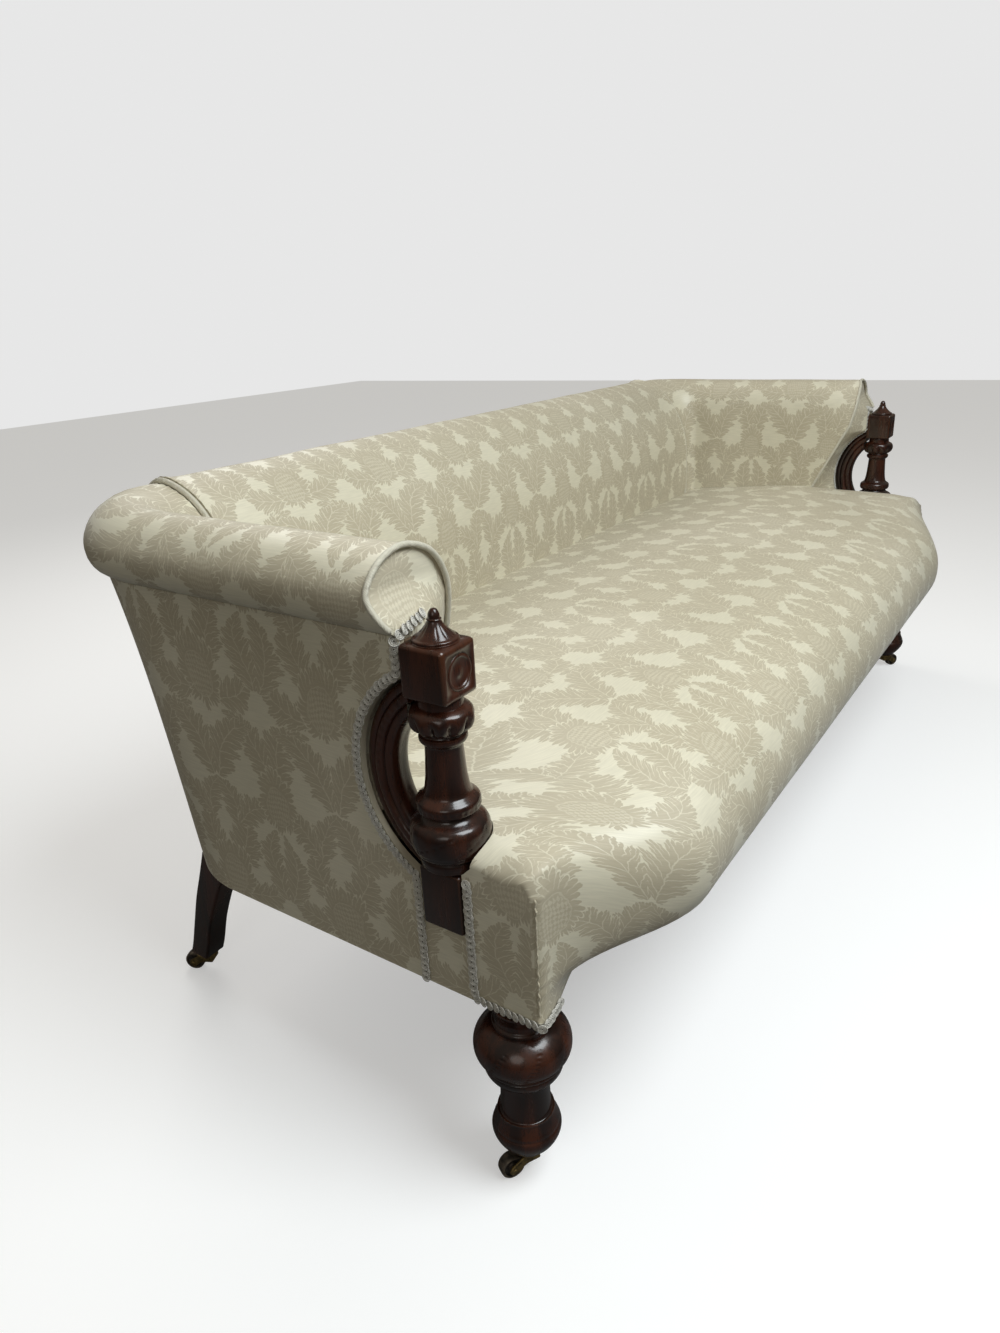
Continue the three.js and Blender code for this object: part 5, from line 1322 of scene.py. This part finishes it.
def piping_material():
    made, nodes, bsdf = material("piping", (0.66, 0.61, 0.47), 0.45, Sheen_Weight=0.15, Sheen_Roughness=0.4)
    cloth = nodes.cloth()
    along, round_it, _ = nodes.split(cloth)
    slant = along + round_it * 0.8
    rib = (slant * (2 * math.pi / RIB_PITCH)).sine()
    gather = nodes.noise(cloth, 60.0, 2.0) * 9.0 + slant * (2 * math.pi / PIPING_GATHER)
    nodes.feeds(bsdf, Base_Color=nodes.mix(nodes.ramp(rib, -1, 0.3), (0.44, 0.41, 0.32), (0.66, 0.625, 0.51)),
                Normal=nodes.bump(gather.sine(), 0.22, 0.0010, nodes.bump(rib, 0.5, 0.0003)))
    return made


def gimp_material():
    made, nodes, bsdf = material("gimp", (0.55, 0.52, 0.45), 0.55, Sheen_Weight=0.2)
    fleck = nodes.noise(nodes.place(), 1400.0, 2.0)
    thread = nodes.mix(nodes.ramp(fleck, 0.35, 0.65), (0.44, 0.42, 0.37), (0.70, 0.68, 0.62))
    # The tape under the loops is painted near black: painted shade for the gaps between the loops.
    shade_tape = nodes.mix(fleck, (0.085, 0.08, 0.065), (0.16, 0.15, 0.12))
    on_shade_tape = nodes.ramp(nodes.split(nodes.cloth())[0], 0.0, 0.0001, kind="LINEAR")
    nodes.feeds(bsdf, Base_Color=nodes.mix(on_shade_tape, thread, shade_tape), Normal=nodes.bump(fleck, 0.4, 0.0004))
    return made


def mahogany_material():
    made, nodes, bsdf = material("mahogany", (0.045, 0.011, 0.006), 0.3,
                                 Coat_Weight=0.35, Coat_Roughness=0.11, Specular_IOR_Level=0.35)
    long = nodes.stretched(nodes.place(), (1, 1, 0.12))
    broad, pores = nodes.noise(long, 38.0, 4.0, 0.6), nodes.noise(long, 900.0, 2.0, 0.6)
    worn = nodes.worn()
    color = nodes.mix(nodes.ramp(broad, 0.35, 0.68), (0.011, 0.0046, 0.0034), (0.050, 0.0140, 0.0062))
    for share, tint in ((nodes.ramp(pores, 0.56, 0.72), (0.008, 0.0035, 0.0026)),
                        (nodes.ramp(worn, 0.53, 0.62) * 0.65, (0.20, 0.078, 0.030)),
                        # Low pointiness (worn) marks the hollows, which are darkened here: painted shade. The
                        # lighter edges above are real wear.
                        (nodes.ramp(worn, 0.42, 0.485, 1, 0) * 0.7, (0.006, 0.003, 0.0025))):
        color = nodes.mix(share, color, tint)
    nodes.feeds(bsdf, Base_Color=color, Roughness=nodes.ramp(broad, 0.3, 0.7, 0.18, 0.34, "LINEAR"),
                Normal=nodes.bump(pores, 0.06, 0.0005))
    return made


def brass_material(name, dark, light, metal):
    made, nodes, bsdf = material(name, light, 0.42, metal)
    tarnish = nodes.noise(nodes.place(), 130.0, 4.0, 0.6)
    worn = nodes.ramp(nodes.worn(), 0.5, 0.58)
    share = nodes.math("ADD", nodes.ramp(tarnish, 0.4, 0.65, 0, 0.6), worn * 0.6, clamp=True)
    nodes.feeds(bsdf, Base_Color=nodes.mix(share, dark, light), Normal=nodes.bump(tarnish, 0.15, 0.0005),
                Roughness=nodes.ramp(tarnish, 0.3, 0.7, 0.32, 0.58, "LINEAR"))
    return made


def hidden_material(name, color, roughness, pattern, tones, relief):
    """A finish of two tones, whose pattern is also its relief. A range of it may precede the tones."""
    made, nodes, bsdf = material(name, color, roughness)
    height = pattern(nodes, nodes.place())
    *ends, dark, light = tones
    color = nodes.mix(nodes.ramp(height, *ends) if ends else height, dark, light)
    nodes.feeds(bsdf, Base_Color=color, Normal=nodes.bump(height, *relief))
    return made


def grain(nodes, place):
    return nodes.noise(nodes.stretched(place, (0.12, 1, 1)), 60.0, 4.0, 0.6)


def fuzz(nodes, place):
    return nodes.noise(place, 900.0, 2.0)


def sacking(nodes, place):
    x, y, _ = nodes.split(place)
    return (x * 1900).sine() * (y * 1900).sine()


def add_room():
    floor_mesh = bpy.data.meshes.new("floor")
    floor_mesh.from_pydata([(-9, -9, 0), (9, -9, 0), (9, 9, 0), (-9, 9, 0)], [], [(0, 1, 2, 3)])
    floor = link("floor", floor_mesh)
    made, nodes, bsdf = material("floor", (0.86, 0.86, 0.86), 0.9, Emission_Color=(1, 1, 1, 1))
    seen = nodes.out("ShaderNodeLightPath", key="Is Camera Ray")
    nodes.feeds(bsdf, Base_Color=nodes.mix(seen, (0.13, 0.13, 0.13), (0.62, 0.62, 0.62)),
                Emission_Strength=seen * 0.42)
    floor.data.materials.append(made)
    world = bpy.data.worlds.new("room")
    world.use_nodes = True
    nodes = Nodes(world.node_tree)
    lit = nodes.ramp(nodes.split(nodes.place("Generated"))[2], -0.1, 0.8, 0.07, 0.26)
    seen = nodes.out("ShaderNodeLightPath", key="Is Camera Ray")
    sky = nodes.mix(seen, nodes.rgb(lit, lit * 0.94, lit * 0.80), (0.80, 0.80, 0.80))
    nodes.feeds(world.node_tree.nodes["Background"].inputs, Color=sky)
    bpy.context.scene.world = world
    for name, at, look, size, power, tint in (
            ("key", (-0.6, -1.35, 2.3), (-0.1, 0, 0.45), 1.4, 56, (0.91, 0.97, 1.0)),
            ("back", (0.9, 2.0, 2.3), (0, 0, 0.45), 1.8, 24, (1.0, 0.98, 0.95)),
            ("side", (-2.7, -0.9, 1.6), (0, 0, 0.4), 1.1, 5, (1.0, 0.97, 0.92))):
        data = bpy.data.lights.new(name, "AREA")
        data.shape, data.size, data.energy, data.color = "DISK", size, power, tint
        turn = (Vector(look) - Vector(at)).to_track_quat("-Z", "Y").to_matrix()
        link(name, data).matrix_world = Matrix.Translation(at) @ turn.to_4x4()
    bpy.context.scene.view_settings.view_transform = "Standard"


def dress_frame():
    """Finishes for the hidden parts that stay as the frame has them."""
    beech = hidden_material("beech", (0.15, 0.10, 0.055), 0.7, grain,
                            (0.3, 0.7, (0.10, 0.062, 0.035), (0.17, 0.11, 0.062)), (0.2, 0.001))
    jute = hidden_material("jute", (0.30, 0.22, 0.12), 0.95, sacking,
                           (-0.6, 0.6, (0.20, 0.145, 0.075), (0.38, 0.29, 0.165)), (0.5, 0.0006))
    lining = hidden_material("lining", (0.025, 0.025, 0.026), 0.95, fuzz,
                             ((0.015, 0.015, 0.016), (0.045, 0.044, 0.045)), (0.3, 0.0005))
    timbers = ("side_seat_rail_right", "side_seat_rail_left", "front_seat_rail", "back_seat_rail",
               "back_top_rail", "centre_seat_brace", "back_centre_upright", "arm_top_rail_right",
               "arm_top_rail_left")
    for finish, names in ((beech, timbers), (jute, ("webbing_and_springs",)), (lining, ("dust_cover",))):
        for name in names:
            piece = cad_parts[name]
            if not piece.material_slots:
                piece.data.materials.append(finish)
            for slot in piece.material_slots:
                slot.material = finish


add_camera()
add_room()
acanthus_leaf, thistle_head = leaf_group(), head_group()
damask_figure, satin_weave, scroll_braid = figure_group(), weave_group(), braid_tree()
damask, piping, gimp, mahogany = damask_material(), piping_material(), gimp_material(), mahogany_material()
brass = brass_material("brass", (0.10, 0.075, 0.035), (0.42, 0.30, 0.12), 0.9)
wheel_metal = brass_material("wheel", (0.035, 0.03, 0.026), (0.16, 0.13, 0.10), 0.5)
dress_frame()
for build in (seat, back, arms, scroll_facings, pipings, outside_panels, posts, finials, roundels, brackets,
              front_legs, back_legs, castors, gimps):
    build()
